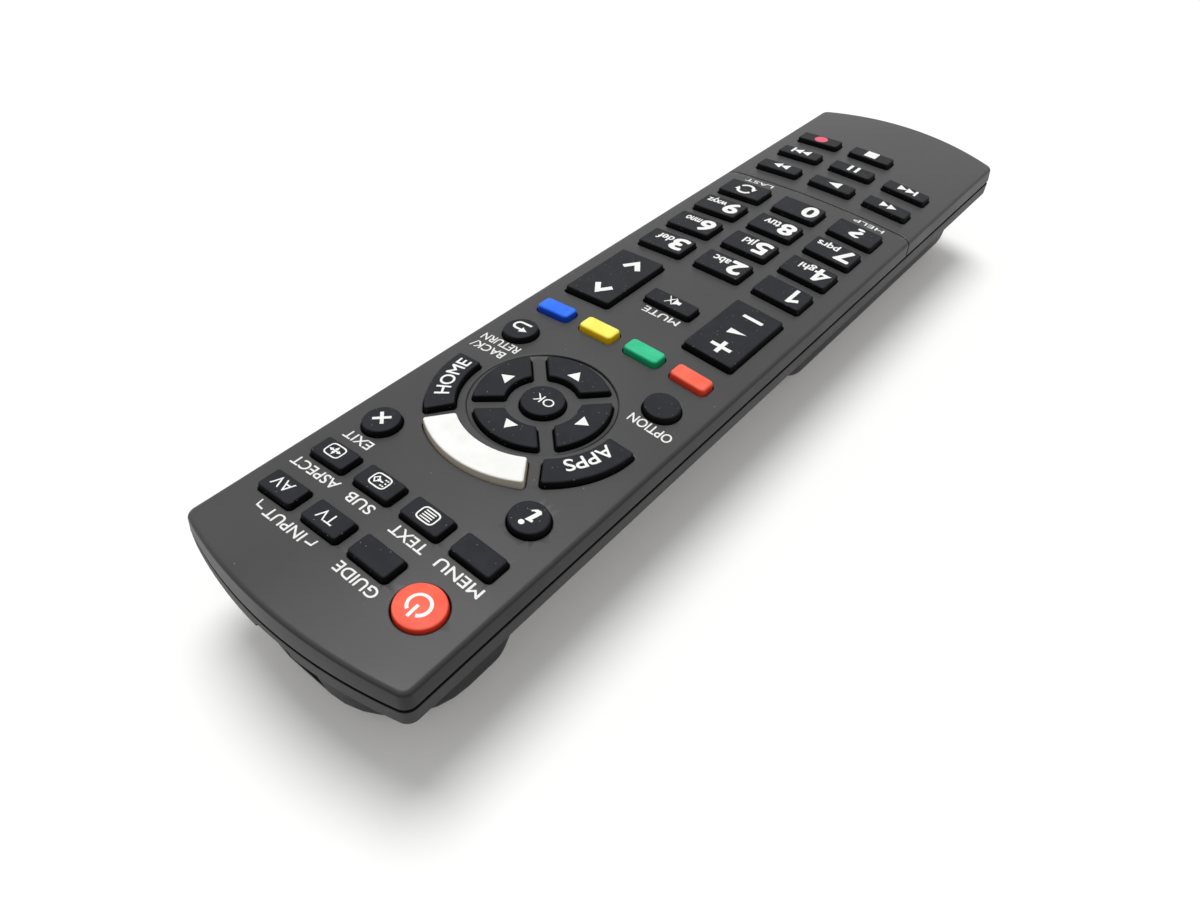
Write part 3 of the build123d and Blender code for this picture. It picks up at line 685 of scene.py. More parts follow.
def addSheet(shape, outer, holes, height, spacing):
    # a curved sheet with holes: a grid of inner points keeps its curve true
    points, faces = [], []
    for loop in [outer] + holes:
        faces.append(list(range(len(points), len(points) + len(loop))))
        points += loop
    boxes = [boxAround(loop, sheetForm["keyMargin"]) for loop in holes]
    lowX, highX, lowY, highY = boxAround(outer)
    columns = int((highX - lowX) / spacing)
    lines = int((highY - lowY) / (spacing * sheetForm["lengthwise"]))
    across, along, middle = sheetForm["shrinkX"], sheetForm["shrinkY"], caseForm["dishY"]
    shrunk = [(x * across, (y - middle) * along + middle) for x, y in outer]
    for column in range(1, columns):
        for line in range(1, lines):
            x = lowX + (highX - lowX) * column / columns
            y = lowY + (highY - lowY) * line / lines
            if any(a < x < b and c < y < d for a, b, c, d in boxes) or not inside((x, y), shrunk):
                continue
            if abs(y - grooveLine(x)) > sheetForm["grooveMargin"]:
                points.append((x, y))
    if lowY < grooveForm["y"]:
        reach = sheetForm["grooveReach"]
        for step in grooveForm["steps"]:
            points += [(x / 2, grooveLine(x / 2) + step) for x in range(-reach, reach + 1)]
    points = [Vector(point) for point in points]
    flat, _, triangles, _, _, origins = delaunay_2d_cdt(points, [], faces, 1, sheetForm["same"], True)
    corners = [shape.verts.new((p.x, p.y, height(p.x, p.y))) for p in flat]
    for triangle, origin in zip(triangles, origins):
        if not any(face > 0 for face in origin):
            shape.faces.new([corners[corner] for corner in triangle])


def openingRings(key, surface):
    # the edge of an opening is eased, then its wall goes straight down
    outline, gap = key["outline"], keyPlan["gap"]
    eased = edgeRound(openingEdge["round"], openingEdge["steps"])
    rings = [lifted(outline(key, gap + out), surface, down) for down, out in eased]
    return rings + [lifted(outline(key, gap), caseForm["faceUnderside"])]


def makeUpperCase():
    shape = bmesh.new()
    edge, seam, height = caseForm["edge"], caseForm["seamTop"], caseForm["height"]
    wallInset = (height - edge - caseForm["wallDrop"] - seam) * tan(radians(caseForm["draft"]))
    rings = [lifted(planOutline(inset), seam + up) for inset, up in caseForm["seamEdge"]]
    for inset, down in edgeRound(edge, caseForm["edgeSteps"]):
        rings.append(lifted(planOutline(wallInset + inset), crownHeight, down))
    # the groove goes over the edge and down the wall
    for ring in rings:
        for place, (x, y, z) in enumerate(ring):
            if abs(y - grooveLine(x)) < grooveForm["halfWidth"]:
                cut = grooveDepth(x, y)
                down = cut if z > height - caseForm["edgeZone"] else 0
                ring[place] = (x - cut * (1 if x > 0 else -1), y, z - down)
    faceLoop = planOutline(wallInset + edge)
    rings[-1] = lifted(faceLoop, crownSurface)
    addRings(shape, rings)
    opened = keyPlan["gap"] + openingEdge["round"]

    def lay(outer, dished, surface, spacing, more=()):
        # a sheet with its openings and their walls
        through = [key for key in keys.values() if key["dished"] == dished]
        holes = [key["outline"](key, opened) for key in through]
        addSheet(shape, outer, holes + list(more), surface, spacing)
        for key in through:
            addRings(shape, openingRings(key, surface))

    # the face, the step down into the dish, then the dish itself
    dish = {"x": 0, "y": caseForm["dishY"], "radius": caseForm["dishRadius"]}
    lip = [lifted(roundOutline(dish, grow), crownHeight, drop) for grow, drop in caseForm["dishLip"]]
    foot = [lifted(roundOutline(dish, grow), dishSurface, drop) for grow, drop in caseForm["dishFoot"]]
    rim = roundOutline(dish, caseForm["dishLip"][0][0])
    lay(faceLoop, False, crownSurface, caseForm["faceMesh"], [rim])
    addRings(shape, lip + foot)
    lay(roundOutline(dish, caseForm["dishFoot"][-1][0]), True, dishSurface, caseForm["dishMesh"])
    return shape


newPiece("upperCase", makeUpperCase(), [upperAbs], 40, "case", "case_plastic", "top_case")
print("upper case made")

lowerForm = {
    "rimHeight": 3.2,
    "rimRound": 0.8,
    # inset, and height from the top of the rim: a narrow trench behind the edge keeps the seam dark
    "rimEdge": ((0.0, -0.1), (0.04, -0.02), (0.1, 0.0), (0.15, -0.02), (0.17, -0.7), (1.0, -0.7)),
    "lip": ((1.0, 20.5), (1.8, 20.5), (1.8, 18.75)),  # inset and height
    "trayInset": 2.2,
    "trayBottom": 11.0,
    "trayRound": 2.2,
    "trayCorner": 3.2,
    "trayFlare": (0.3, 0.1),  # its wall flares out that far under the rim, by that much
    "podTop": 16.8,
    "podCorner": 0.4,
    "podSteps": (9, 8),  # round the floor's edge and round each corner
    "edgeSteps": (8, 6),  # round the tray's edge and the rim's
    # ends at its top, ends on the floor, half width, rounding at the floor and at the front corners
    "belly": ((-97.0, -2.0), (-91.0, -14.0), 19.0, 5.5, 5.5),
    "foot": ((64.0, 98.8), (74.0, 95.9), 18.8, 4.0, 14.3),
    "bay": (15.1, -77.5, -19.5, 16.7),  # half width, back, front, roof
    "door": (15.9, -80.1, -16.9, 1.6),  # half width, back, front, thickness
    "doorGap": 0.15,
    "bayFloor": -1.0,  # the cuts for bay and door start below the floor, one lower than the other
    "doorFloor": -2.0,
    "tongueX": 8.0,
    # half width, back and front from the door's edge, bottom, top
    "tongueSlot": (2.8, -2.1, 3.6, 1.0, 4.0),
    "latchSlot": (4.4, -3.6, 0.0, 1.0, 7.2),
    "archWidth": 8.2,
    "archTop": 17.6,
    "archFloor": 5.0,
    "archRound": 1.6,
    "archSteps": 8,
    "archBack": 93.0,
    "archFront": 104.0,
    "lampHeight": 14.3,
    "lampHole": 2.65,
    "lampHoleBack": 80.0,
    "lampHoleOver": 1.0,  # how far into the arch its cut goes
    "lampHoleSteps": 40,
}


def roundedPod(name, topEnds, floorEnds, halfSpan, rounding, frontCorner):
    # a block with sloping ends, its floor edge and upright edges rounded alike
    top = lowerForm["podTop"]
    edgeSteps, cornerSteps = lowerForm["podSteps"]
    rings = []
    for height, inset in edgeRound(rounding, edgeSteps) + [(top, 0.0)]:
        share = height / top
        back = floorEnds[0] + (topEnds[0] - floorEnds[0]) * share + inset
        front = floorEnds[1] + (topEnds[1] - floorEnds[1]) * share - inset
        halfWidth = halfSpan - inset
        ring, corners = [], ((1, front, 1), (-1, front, 1), (-1, back, -1), (1, back, -1))
        for turn, (side, end, way) in enumerate(corners):
            corner = max((frontCorner if way > 0 else rounding) - inset, lowerForm["podCorner"])
            centre = (side * (halfWidth - corner), end - way * corner)
            ring += arcPoints(centre, corner, turn * pi / 2, (turn + 1) * pi / 2, cornerSteps)
        rings.append(lifted(ring, height))
    shape = bmesh.new()
    addRings(shape, rings, closed=True)
    return solidFrom(shape, name)


def outlineAt(inset, height, corner=0.0):
    return lifted(planOutline(inset, corner), height)


def rimAndTray():
    rimTop = caseForm["seamBottom"]
    rimBottom = rimTop - lowerForm["rimHeight"]
    bottom, inset, corner = lowerForm["trayBottom"], lowerForm["trayInset"], lowerForm["trayCorner"]
    traySteps, rimSteps = lowerForm["edgeSteps"]
    under, out = lowerForm["trayFlare"]
    rings = []
    for height, more in edgeRound(lowerForm["trayRound"], traySteps):
        rings.append(outlineAt(inset + more, bottom + height, corner - more))
    rings += [outlineAt(inset, rimBottom - under, corner), outlineAt(inset - out, rimBottom, corner)]
    for height, more in edgeRound(lowerForm["rimRound"], rimSteps):
        rings.append(outlineAt(more, rimBottom + height))
    rings += [outlineAt(inset, rimTop + up) for inset, up in lowerForm["rimEdge"]]
    rings += [outlineAt(inset, height) for inset, height in lowerForm["lip"]]
    shape = bmesh.new()
    addRings(shape, rings, closed=True)
    return solidFrom(shape, "rimAndTray")


def makeLowerCase():
    body = rimAndTray()
    combine(body, [roundedPod(name, *lowerForm[name]) for name in ("belly", "foot")], "UNION")
    halfWidth, back, front, roof = lowerForm["bay"]
    cuts = [boxSolid("bayCut", (-halfWidth, back, lowerForm["bayFloor"]), (halfWidth, front, roof))]
    halfWidth, back, front, thickness = lowerForm["door"]
    gap = lowerForm["doorGap"]
    low = (-halfWidth - gap, back - gap, lowerForm["doorFloor"])
    cuts.append(boxSolid("seatCut", low, (halfWidth + gap, front + gap, thickness + gap)))
    tongueX, tongue, latch = lowerForm["tongueX"], lowerForm["tongueSlot"], lowerForm["latchSlot"]
    for x, y, slot in ((-tongueX, back, tongue), (tongueX, back, tongue), (0, front, latch)):
        half, toBack, toFront, bottom, top = slot
        cuts.append(boxSolid("slotCut", (x - half, y + toBack, bottom), (x + half, y + toFront, top)))
    half, top, rounding = lowerForm["archWidth"] / 2, lowerForm["archTop"], lowerForm["archRound"]
    steps = lowerForm["archSteps"]
    outline = arcPoints((half - rounding, top - rounding), rounding, 0, pi / 2, steps)
    outline += arcPoints((rounding - half, top - rounding), rounding, pi / 2, pi, steps)
    outline += [(-half, lowerForm["archFloor"]), (half, lowerForm["archFloor"])]
    hole = circle((0, lowerForm["lampHeight"]), lowerForm["lampHole"], lowerForm["lampHoleSteps"])
    wall = lowerForm["archBack"]
    holeEnds = lowerForm["lampHoleBack"], wall + lowerForm["lampHoleOver"]
    cuts.append(solidFrom(addPrism(bmesh.new(), outline, "y", wall, lowerForm["archFront"]), "archCut"))
    cuts.append(solidFrom(addPrism(bmesh.new(), hole, "y", *holeEnds), "lampCut"))
    combine(body, cuts, "DIFFERENCE")
    return takeShape(body)


newPiece("lowerCase", makeLowerCase(), [lowerAbs], 32, "case", "case_plastic", "bottom_case")
print("lower case made")

doorForm = {
    "tongueWidth": 5.0,
    "latchWidth": 8.0,
    # their sides: a place from the door's back edge, or from its front edge, and a height
    "tongueSide": ((1.3, 1.4), (1.3, 3.0), (-1.5, 3.0), (-1.8, 2.7), (-1.8, 1.9), (0.0, 1.9), (0.0, 1.4)),
    "latchSide": ((-2.0, 1.4), (-0.9, 1.4), (-0.9, 4.8), (-0.4, 5.3), (-0.9, 6.2), (-1.7, 6.2), (-2.0, 5.9)),
    "ridges": 5,
    "ridgeBack": 3.0,  # of the first, from the door's front edge
    "ridgePitch": 1.8,
    "ridgeDepth": 0.35,
    "ridgeFloor": -0.5,  # where their cuts start, below the floor
    "ridgeRound": 0.4,
    "ridgeSteps": 8,
    "ridgeReach": (6.0, 0.8),  # half the length of the first, and how much shorter each next one is
}


def makeDoor():
    halfWidth, back, front, thickness = lowerForm["door"]
    low = (-halfWidth, back, lowerForm["bayFloor"])
    door = boxSolid("doorPanel", low, (halfWidth, front, thickness))
    combine(door, [roundedPod("doorBelly", *lowerForm["belly"])], "INTERSECT")
    grips = []
    longest, shorter = doorForm["ridgeReach"]
    rounding, steps = doorForm["ridgeRound"], doorForm["ridgeSteps"]
    for ridge in range(doorForm["ridges"]):
        y, reach = front - doorForm["ridgeBack"] - ridge * doorForm["ridgePitch"], longest - ridge * shorter
        outline = arcPoints((reach, y), rounding, -pi / 2, pi / 2, steps)
        outline += arcPoints((-reach, y), rounding, pi / 2, 3 * pi / 2, steps)
        cut = addPrism(bmesh.new(), outline, "z", doorForm["ridgeFloor"], doorForm["ridgeDepth"])
        grips.append(solidFrom(cut, "gripCut"))
    combine(door, grips, "DIFFERENCE")
    shape = takeShape(door)
    tongueX = lowerForm["tongueX"]
    for part, edge, x in (("tongue", back, -tongueX), ("tongue", back, tongueX), ("latch", front, 0)):
        half = doorForm[part + "Width"] / 2
        side = [(edge + along, height) for along, height in doorForm[part + "Side"]]
        addPrism(shape, side, "x", x - half, x + half)
    return shape


newPiece("batteryCover", makeDoor(), [lowerAbs], 32, "door", "case_plastic", "battery_door")
print("battery door made")

capForm = {
    "edge": 0.32,
    "softEdge": 0.5,  # of the colour keys
    "edgeSteps": 5,
    "draft": 0.09,
    "bottom": 21.2,
    "neck": 0.2,  # how far under the face the sides start to draw in
    "dome": 0.45,
    "domeSteps": 7,
}
keyFinish = {
    "power_key": ("power", "power_red"),
    "red_key": ("red", "colour_red"),
    "green_key": ("green", "colour_green"),
    "yellow_key": ("yellow", "colour_yellow"),
    "blue_key": ("blue", "colour_blue"),
    "shortcut_key": ("white", "key_white"),
}
bodyOf = {node: body for body, nodes in frame["record"]["behaviour"]["bodies"].items() for node in nodes}


def makeCap(name, key, slotName):
    outline, top = key["outline"], topOf(key)
    edge = capForm["softEdge" if slotName.startswith("colour") else "edge"]
    draft = capForm["draft"] + keyPlan["inset"]
    foot = outline(key, -keyPlan["inset"])
    rings = [lifted(foot, capForm["bottom"])]
    rings.append(lifted(foot, dishSurface if key["dished"] else crownSurface, capForm["neck"]))
    dome, steps = (capForm["dome"], capForm["domeSteps"]) if name == "power_key" else (0.0, 0)
    for inset, down in edgeRound(edge, capForm["edgeSteps"]):
        rings.append(lifted(outline(key, -draft - inset), top, dome + down))
    for step in range(1, steps):
        share = step / steps
        loop = outline(key, -draft - edge - (key["radius"] - draft - edge) * share)
        rings.append(lifted(loop, top, dome * (1 - share) ** 2))
    shape = bmesh.new()
    addRings(shape, rings, closed=True)
    return shape


for name, key in keys.items():
    tint, slotName = keyFinish.get(name, ("black", "key_black"))
    shape = makeCap(name, key, slotName)
    newPiece(name + "Cap", shape, [rubber[tint]], 50, bodyOf[name], slotName, name)
print("key caps made")

printForm = {
    "lift": 0.02,
    "rise": 0.004,  # so that strokes that cross aren't in one plane
    "boxIcon": (3.5, 2.7),
    "boxLine": 0.26,
    "boxBow": 4.2,  # 2 is an ellipse, more is squarer
    "boxSteps": 12,  # points of each of its sides
    "sharpest": 0.4,  # keeps the mitre of a sharp bend short
    "wordBold": 0.035,
    "bentBold": 0.05,
    "bracketLine": 0.3,
}


def wordShape(words):
    curve = bpy.data.curves.new("words", "FONT")
    curve.body = words
    curve.resolution_u = 5
    holder = inScene("words", curve)
    mesh = changedMesh(holder)
    bpy.data.objects.remove(holder)
    points = [(corner.co.x, corner.co.y) for corner in mesh.vertices]
    faces = [tuple(face.vertices) for face in mesh.polygons]
    bpy.data.meshes.remove(mesh)
    return points, faces


def solidShape(outline):
    return list(outline), [tuple(range(len(outline)))]


def strokeShape(line, width, closed=False):
    # a line of even width with mitred bends
    count = len(line)
    points, faces = [], []
    for place in range(count):
        here = Vector(line[place])
        before = Vector(line[place - 1]) if closed or place else None
        after = Vector(line[(place + 1) % count]) if closed or place < count - 1 else None
        into = (here - before).normalized() if before else (after - here).normalized()
        out = (after - here).normalized() if after else into
        middle = (into + out).normalized()
        side = Vector((-middle.y, middle.x))
        reach = width / 2 / max(side.dot(Vector((-into.y, into.x))), printForm["sharpest"])
        points += [tuple(here + side * reach), tuple(here - side * reach)]
    for place in range(count if closed else count - 1):
        follow = (place + 1) % count
        faces.append((2 * place, 2 * place + 1, 2 * follow + 1, 2 * follow))
    return points, faces


def joined(*shapes):
    points, faces = [], []
    for shapePoints, shapeFaces in shapes:
        faces += [tuple(corner + len(points) for corner in face) for face in shapeFaces]
        points += shapePoints
    return points, faces


def shifted(shape, x, y, turn=0.0, size=1.0):
    points, faces = shape
    c, s = cos(turn), sin(turn)
    return [(x + size * (px * c - py * s), y + size * (px * s + py * c)) for px, py in points], faces


def fitted(shape, box):
    # box is the middle and the size that the shape fills
    points, faces = shape
    x, y, width, height = box
    lowX, highX, lowY, highY = boxAround(points)
    spanX, spanY = max(highX - lowX, 1e-6), max(highY - lowY, 1e-6)
    shares = [((px - lowX) / spanX - 0.5, (py - lowY) / spanY - 0.5) for px, py in points]
    return [(x + width * across, y + height * along) for across, along in shares], faces


def boldShape(shape, box, grow):
    # copies shifted round a small circle thicken every stroke alike
    x, y, width, height = box
    thin = fitted(shape, (x, y, width - 2 * grow, height - 2 * grow))
    turns = [turn * pi / 4 for turn in range(8)]
    return joined(thin, *[shifted(thin, grow * cos(turn), grow * sin(turn)) for turn in turns])


def screenIcon(*inner):
    # what the screen shows, in a picture tube's outline: four bowed sides that meet in rounded corners
    (width, height), line, power = printForm["boxIcon"], printForm["boxLine"], printForm["boxBow"]
    halfWidth, halfHeight, steps = (width - line) / 2, (height - line) / 2, printForm["boxSteps"]
    loop = []
    for turn in range(4):
        for step in range(steps):
            angle = turn * pi / 2 - pi / 4 + step / steps * pi / 2
            reach = (abs(cos(angle)) ** power + abs(sin(angle)) ** power) ** (-1 / power)
            loop.append((halfWidth * reach * cos(angle), halfHeight * reach * sin(angle)))
    return joined(strokeShape(loop, line, closed=True), *inner)


def arrowHead(size):
    return solidShape([(size * 0.62, 0), (-size * 0.38, size / 2), (-size * 0.38, -size / 2)])


def arrowLine(length, head):
    bar = strokeShape([(0, 0), (length - head * 0.7, 0)], printForm["boxLine"])
    return joined(bar, shifted(arrowHead(head), length - head * 0.62, 0))


# the icons are drawn in millimetres round their own middle
def textIcon():
    lines = [shifted(strokeShape([(-1.0, 0), (1.0, 0)], 0.22), 0, 0.69 - 0.46 * line) for line in range(4)]
    return screenIcon(*lines)


def subtitleIcon():
    dashes = [
        shifted(strokeShape([(-0.16, 0), (0.16, 0)], 0.26), -1.1 + 0.45 * column, 0.6 - 0.6 * line)
        for line, column in ((0, 0), (0, 1), (1, 0), (2, 0), (2, 1))
    ]
    lozenge = strokeShape([(0.15, 0), (0.7, 0.62), (1.25, 0), (0.7, -0.62)], 0.22, closed=True)
    return screenIcon(*dashes, lozenge, shifted(arrowLine(1.3, 0.62), -0.6, 0))


def aspectIcon():
    arms = [arrowLine(length, 0.72) for length in (1.32, 0.98, 1.32, 0.98)]
    return screenIcon(*[shifted(arm, 0, 0, turn * pi / 2) for turn, arm in enumerate(arms)])


def powerIcon():
    ring = strokeShape(arcPoints((0, 0), 1.62, radians(118), radians(422), 40), 0.5)
    return joined(ring, strokeShape([(0, 0.1 + 0.26 * step) for step in range(9)], 0.5))


def infoIcon():
    body = [(-0.75, 0.62), (0.42, 0.8), (-0.05, -1.15), (0.3, -1.2), (0.62, -0.9), (0.8, -1.1)]
    body += [(0.2, -1.75), (-0.45, -1.85), (-0.8, -1.5), (-0.72, -1.0), (-0.42, 0.25), (-0.72, 0.2)]
    return joined(solidShape(circle((0.42, 1.5), 0.46, 20)), solidShape(body))


def crossIcon():
    return joined(strokeShape([(-1, -1), (1, 1)], 0.55), strokeShape([(-1, 1), (1, -1)], 0.55))


def backIcon():
    bend = [(-1.7, -1.2), *arcPoints((0.6, -0.25), 0.95, -pi / 2, pi / 2, 6), (-0.9, 0.7)]
    return joined(strokeShape(bend, 0.5), shifted(arrowHead(1.5), -1.2, 0.7, pi))


def speakerIcon():
    box = solidShape([(-1.6, -0.5), (-0.9, -0.5), (-0.1, -1.2), (-0.1, 1.2), (-0.9, 0.5), (-1.6, 0.5)])
    wave = strokeShape(arcPoints((0, 0), 0.75, -0.8, 0.8, 8), 0.2)
    slashes = [strokeShape([(-0.1, -end), (1.6, end)], 0.22) for end in (1.3, -1.3)]
    return joined(box, wave, *slashes)


def volumeIcon():
    minus = strokeShape([(-2.1, 0), (2.1, 0)], 0.86)
    plus = joined(minus, strokeShape([(0, -1.85), (0, 1.85)], 0.86))
    wedge = solidShape([(-1.7, -0.85), (1.7, -0.85), (1.7, 0.85)])
    return joined(shifted(plus, -0.6, 5.45), shifted(wedge, -0.6, 0.35), shifted(minus, -0.6, -5.4))


def channelIcon():
    chevron = strokeShape([(-1.75, -1.2), (0, 1.15), (1.75, -1.2)], 1.1)
    return joined(shifted(chevron, -0.8, 5.5), shifted(chevron, -0.8, -4.8, pi))


def turnIcon():
    # two arrows that follow each other round
    head = shifted(arrowHead(1.35), 1.75 * cos(radians(8)), 1.75 * sin(radians(8)) + 0.1, radians(-82))
    half = joined(strokeShape(arcPoints((0, 0), 1.75, radians(20), radians(150), 18), 0.62), head)
    return joined(half, shifted(half, 0, 0, pi))


def playShapes(kind):
    arrow = solidShape([(-0.85, -1.2), (0.95, 0), (-0.85, 1.2)])
    bar = strokeShape([(0, -1.2), (0, 1.2)], 0.5)
    if kind == "play":
        return shifted(arrow, 0, 0, 0, 1.3)
    if kind == "pause":
        return joined(shifted(bar, -0.75, 0, 0, 1.25), shifted(bar, 0.75, 0, 0, 1.25))
    pair = joined(shifted(arrow, -0.9, 0), shifted(arrow, 0.85, 0))
    if kind in ("next", "previous"):
        pair = joined(pair, shifted(bar, 1.95, 0))
    return shifted(pair, 0, 0, pi) if kind in ("previous", "rewind") else pair


numberForm = {
    "box": (-2.75, -0.1, 3.5, 4.9),
    "oneBox": (-2.85, -0.1, 2.3, 4.9),
    "fourBox": (-2.75, -0.1, 3.6, 4.9),
    "bold": 0.24,
    "letterBold": 0.07,
    "letterLeft": -0.75,
    "letterMiddle": -1.2,
    "letterHeight": 1.7,
    "stem": 0.7,  # what b, d, f, h, k, l and t add above
    "tail": 0.6,  # what g, j, p, q and y add below
    "letterWidth": (1.05, 0.6, 0.45),  # each letter, the ends, what each narrow letter saves
}


def numberShape(digit, letters):
    if digit == "1":
        # a stem with a flag
        stem = solidShape([(0.3, -1), (1, -1), (1, 1), (0.5, 1), (-1, 0.5), (-0.7, 0.16), (0.3, 0.5)])
        shapes = [fitted(stem, numberForm["oneBox"])]
    elif digit == "4":
        # a diagonal into the bar, and the stem
        slope = strokeShape([(0.45, 2.1), (-1.25, -0.8), (1.75, -0.8)], 0.72)
        stem = strokeShape([(0.7, 2.45), (0.7, -2.45)], 0.92)
        shapes = [fitted(joined(slope, stem), numberForm["fourBox"])]
    else:
        shapes = [boldShape(wordShape(digit), numberForm["box"], numberForm["bold"])]
    if letters:
        up = numberForm["stem"] if any(letter in "bdfhklt" for letter in letters) else 0
        down = numberForm["tail"] if any(letter in "gjpqy" for letter in letters) else 0
        each, ends, saved = numberForm["letterWidth"]
        width = each * len(letters) + ends - saved * sum(letter in "ijl" for letter in letters)
        box = (numberForm["letterLeft"] + width / 2, numberForm["letterMiddle"] + up / 2 - down / 2)
        box += (width, numberForm["letterHeight"] + up + down)
        shapes.append(boldShape(wordShape(letters), box, numberForm["letterBold"]))
    return shapes


# fitted drawings fill a box round the middle of their key: x, y, width, height
keyPrint = {
    "power_key": shifted(powerIcon(), -0.1, 0.15, 0, 1.02),
    "tv_key": fitted(wordShape("TV"), (0.19, -0.11, 3.4, 1.9)),
    "av_key": fitted(wordShape("AV"), (0.38, -0.21, 3.9, 2.0)),
    "text_key": shifted(textIcon(), -0.16, -0.07),
    "subtitle_key": shifted(subtitleIcon(), 0, -0.2),
    "aspect_key": shifted(aspectIcon(), 0.2, -0.2),
    "info_key": fitted(infoIcon(), (-0.2, 0.0, 1.75, 3.9)),
    "exit_key": fitted(crossIcon(), (0.1, -0.2, 2.7, 2.5)),
    "back_key": fitted(backIcon(), (0.1, -0.3, 3.8, 2.9)),
    "ok_key": fitted(wordShape("OK"), (-0.3, 0.0, 3.9, 1.9)),
    "mute_key": fitted(speakerIcon(), (-0.3, -0.25, 3.1, 2.5)),
    "volume_rocker": volumeIcon(),
    "channel_rocker": channelIcon(),
    "help_key": boldShape(wordShape("?"), (-0.28, -0.1, 2.7, 4.2), 0.11),
    "last_view_key": fitted(turnIcon(), (-0.1, 0, 4.7, 4.5)),
    "rewind_key": fitted(playShapes("rewind"), (-0.3, -0.2, 3.8, 2.4)),
    "play_key": fitted(playShapes("play"), (-0.4, -0.2, 3.0, 2.8)),
    "fast_forward_key": fitted(playShapes("forward"), (-0.1, -0.4, 4.0, 2.5)),
    "previous_key": fitted(playShapes("previous"), (-0.3, -0.3, 4.5, 2.4)),
    "pause_key": fitted(playShapes("pause"), (-0.2, -0.3, 2.5, 2.9)),
    "next_key": fitted(playShapes("next"), (0.1, -0.4, 4.7, 2.6)),
    "stop_key": fitted(solidShape([(-1, -1), (1, -1), (1, 1), (-1, 1)]), (0, -0.2, 3.0, 3.0)),
    "record_key": fitted(solidShape(circle((0, 0), 1.5, 32)), (-0.2, 0.1, 3.3, 3.2)),
}
letterGroups = ("", "", "abc", "def", "ghi", "jkl", "mno", "pqrs", "tuv", "wxyz")
for digit, letters in enumerate(letterGroups):
    keyPrint["digit_" + str(digit) + "_key"] = numberShape(str(digit), letters)
triangle = solidShape([(-1.0, -1.28), (1.0, 0), (-1.0, 1.28)])
for way, turn, x, y in (
    ("up", 90, 0, 53.0),
    ("left", 180, -8.9, 44.6),
    ("down", 270, -0.2, 36.1),
    ("right", 0, 8.5, 44.5),
):
    name = way + "_arrow_key"
    keyPrint[name] = shifted(triangle, x - keys[name]["x"], y - keys[name]["y"], radians(turn))


def bentWord(words, radius, middle, size):
    # letters stand on a circle round the dish and read clockwise
    points, faces = boldShape(wordShape(words), (0, 0, *size), printForm["bentBold"])
    bent = []
    for x, y in points:
        angle = radians(middle) - x / radius
        bent.append(((radius + y) * cos(angle), caseForm["ringY"] + (radius + y) * sin(angle)))
    return bent, faces


for name, words, radius, middle, size in (
    ("apps_key", "APPS", 16.1, 159.5, (8.6, 2.5)),
    ("home_key", "HOME", 16.5, 20.0, (10.0, 2.6)),
):
    keyPrint[name] = shifted(bentWord(words, radius, middle, size), -keys[name]["x"], -keys[name]["y"])


def addPrint(shape, drawing, surface):
    points, faces = drawing
    rise = printForm["rise"] / len(points)
    corners = []
    for place, (x, y) in enumerate(points):
        corners.append(shape.verts.new((x, y, surface(x, y) + printForm["lift"] + place * rise)))
    for face in faces:
        shape.faces.new([corners[corner] for corner in face])


def newPrint(name, shape, ink, body):
    for face in shape.faces:
        face.normal_update()
        if face.normal.z < 0:
            face.normal_flip()
    bmesh.ops.scale(shape, vec=(mm, mm, mm), verts=shape.verts)
    newObject(name, meshFrom(shape, name, [ink]), body)


def printSurface(name, key):
    # the top of a key, with the power key's dome
    top = topOf(key)
    if name != "power_key":
        return top
    reach = key["radius"] - capForm["draft"] - keyPlan["inset"] - capForm["edge"]
    return lambda x, y: top(x, y) - capForm["dome"] * (hypot(x - key["x"], y - key["y"]) / reach) ** 2


for name, drawing in keyPrint.items():
    key = keys[name]
    shape = bmesh.new()
    for part in drawing if isinstance(drawing, list) else [drawing]:
        addPrint(shape, shifted(part, key["x"], key["y"]), printSurface(name, key))
    newPrint(name + "Print", shape, recordInk if name == "record_key" else keyInk, bodyOf[name])

# words and marks on the face, each with the box that it fills: left, right, low, high
faceWords = (
    ("GUIDE", -9.6, -1.5, 87.9, 89.8),
    ("INPUT", 5.7, 14.1, 87.9, 89.8),
    ("MENU", -19.7, -11.3, 78.4, 80.3),
    ("TEXT", -8.9, -2.1, 78.4, 80.3),
    ("SUB", 2.2, 7.6, 78.4, 80.3),
    ("ASPECT", 10.0, 20.4, 78.4, 80.3),
    ("EXIT", 12.9, 18.9, 69.5, 71.3),
    ("OPTION", -21.2, -12.8, 36.4, 38.5),
    ("BACK/", 13.4, 20.9, 39.0, 40.9),
    ("RETURN", 12.3, 20.9, 36.3, 38.2),
    ("MUTE", -4.3, 3.7, 10.8, 12.6),
    ("HELP", -17.6, -10.4, -47.5, -46.1),
    ("LAST", 10.4, 17.6, -47.5, -46.1),
)
brackets = (((3.6, 87.9), (3.75, 89.0), (5.0, 89.1)), ((14.8, 89.1), (16.2, 89.0), (16.4, 87.8)))
shape = bmesh.new()
for words, left, right, low, high in faceWords:
    box = ((left + right) / 2, (low + high) / 2, right - left, high - low)
    addPrint(shape, boldShape(wordShape(words), box, printForm["wordBold"]), crownSurface)
for line in brackets:
    addPrint(shape, strokeShape(line, printForm["bracketLine"]), crownSurface)
newPrint("facePrint", shape, faceInk, "case")
print("print laid on")

cellForm = {
    "diameter": 14.5,
    "length": 50.5,
    "spacing": 14.9,
    "height": 9.15,
    "nub": 1.3,
    "band": 12.0,
    "bare": 0.75,  # how far inside the rim the steel is bare
}


def lathed(shape, profile, centre, axis, steps=48):
    # profile is (radius, distance along the axis)
    rings = []
    for radius, along in profile:
        loop = circle((centre[0], centre[2]), radius, steps)
        rings.append([(x, centre[1] + axis * along, z) for x, z in loop])
    addRings(shape, rings, closed=True)


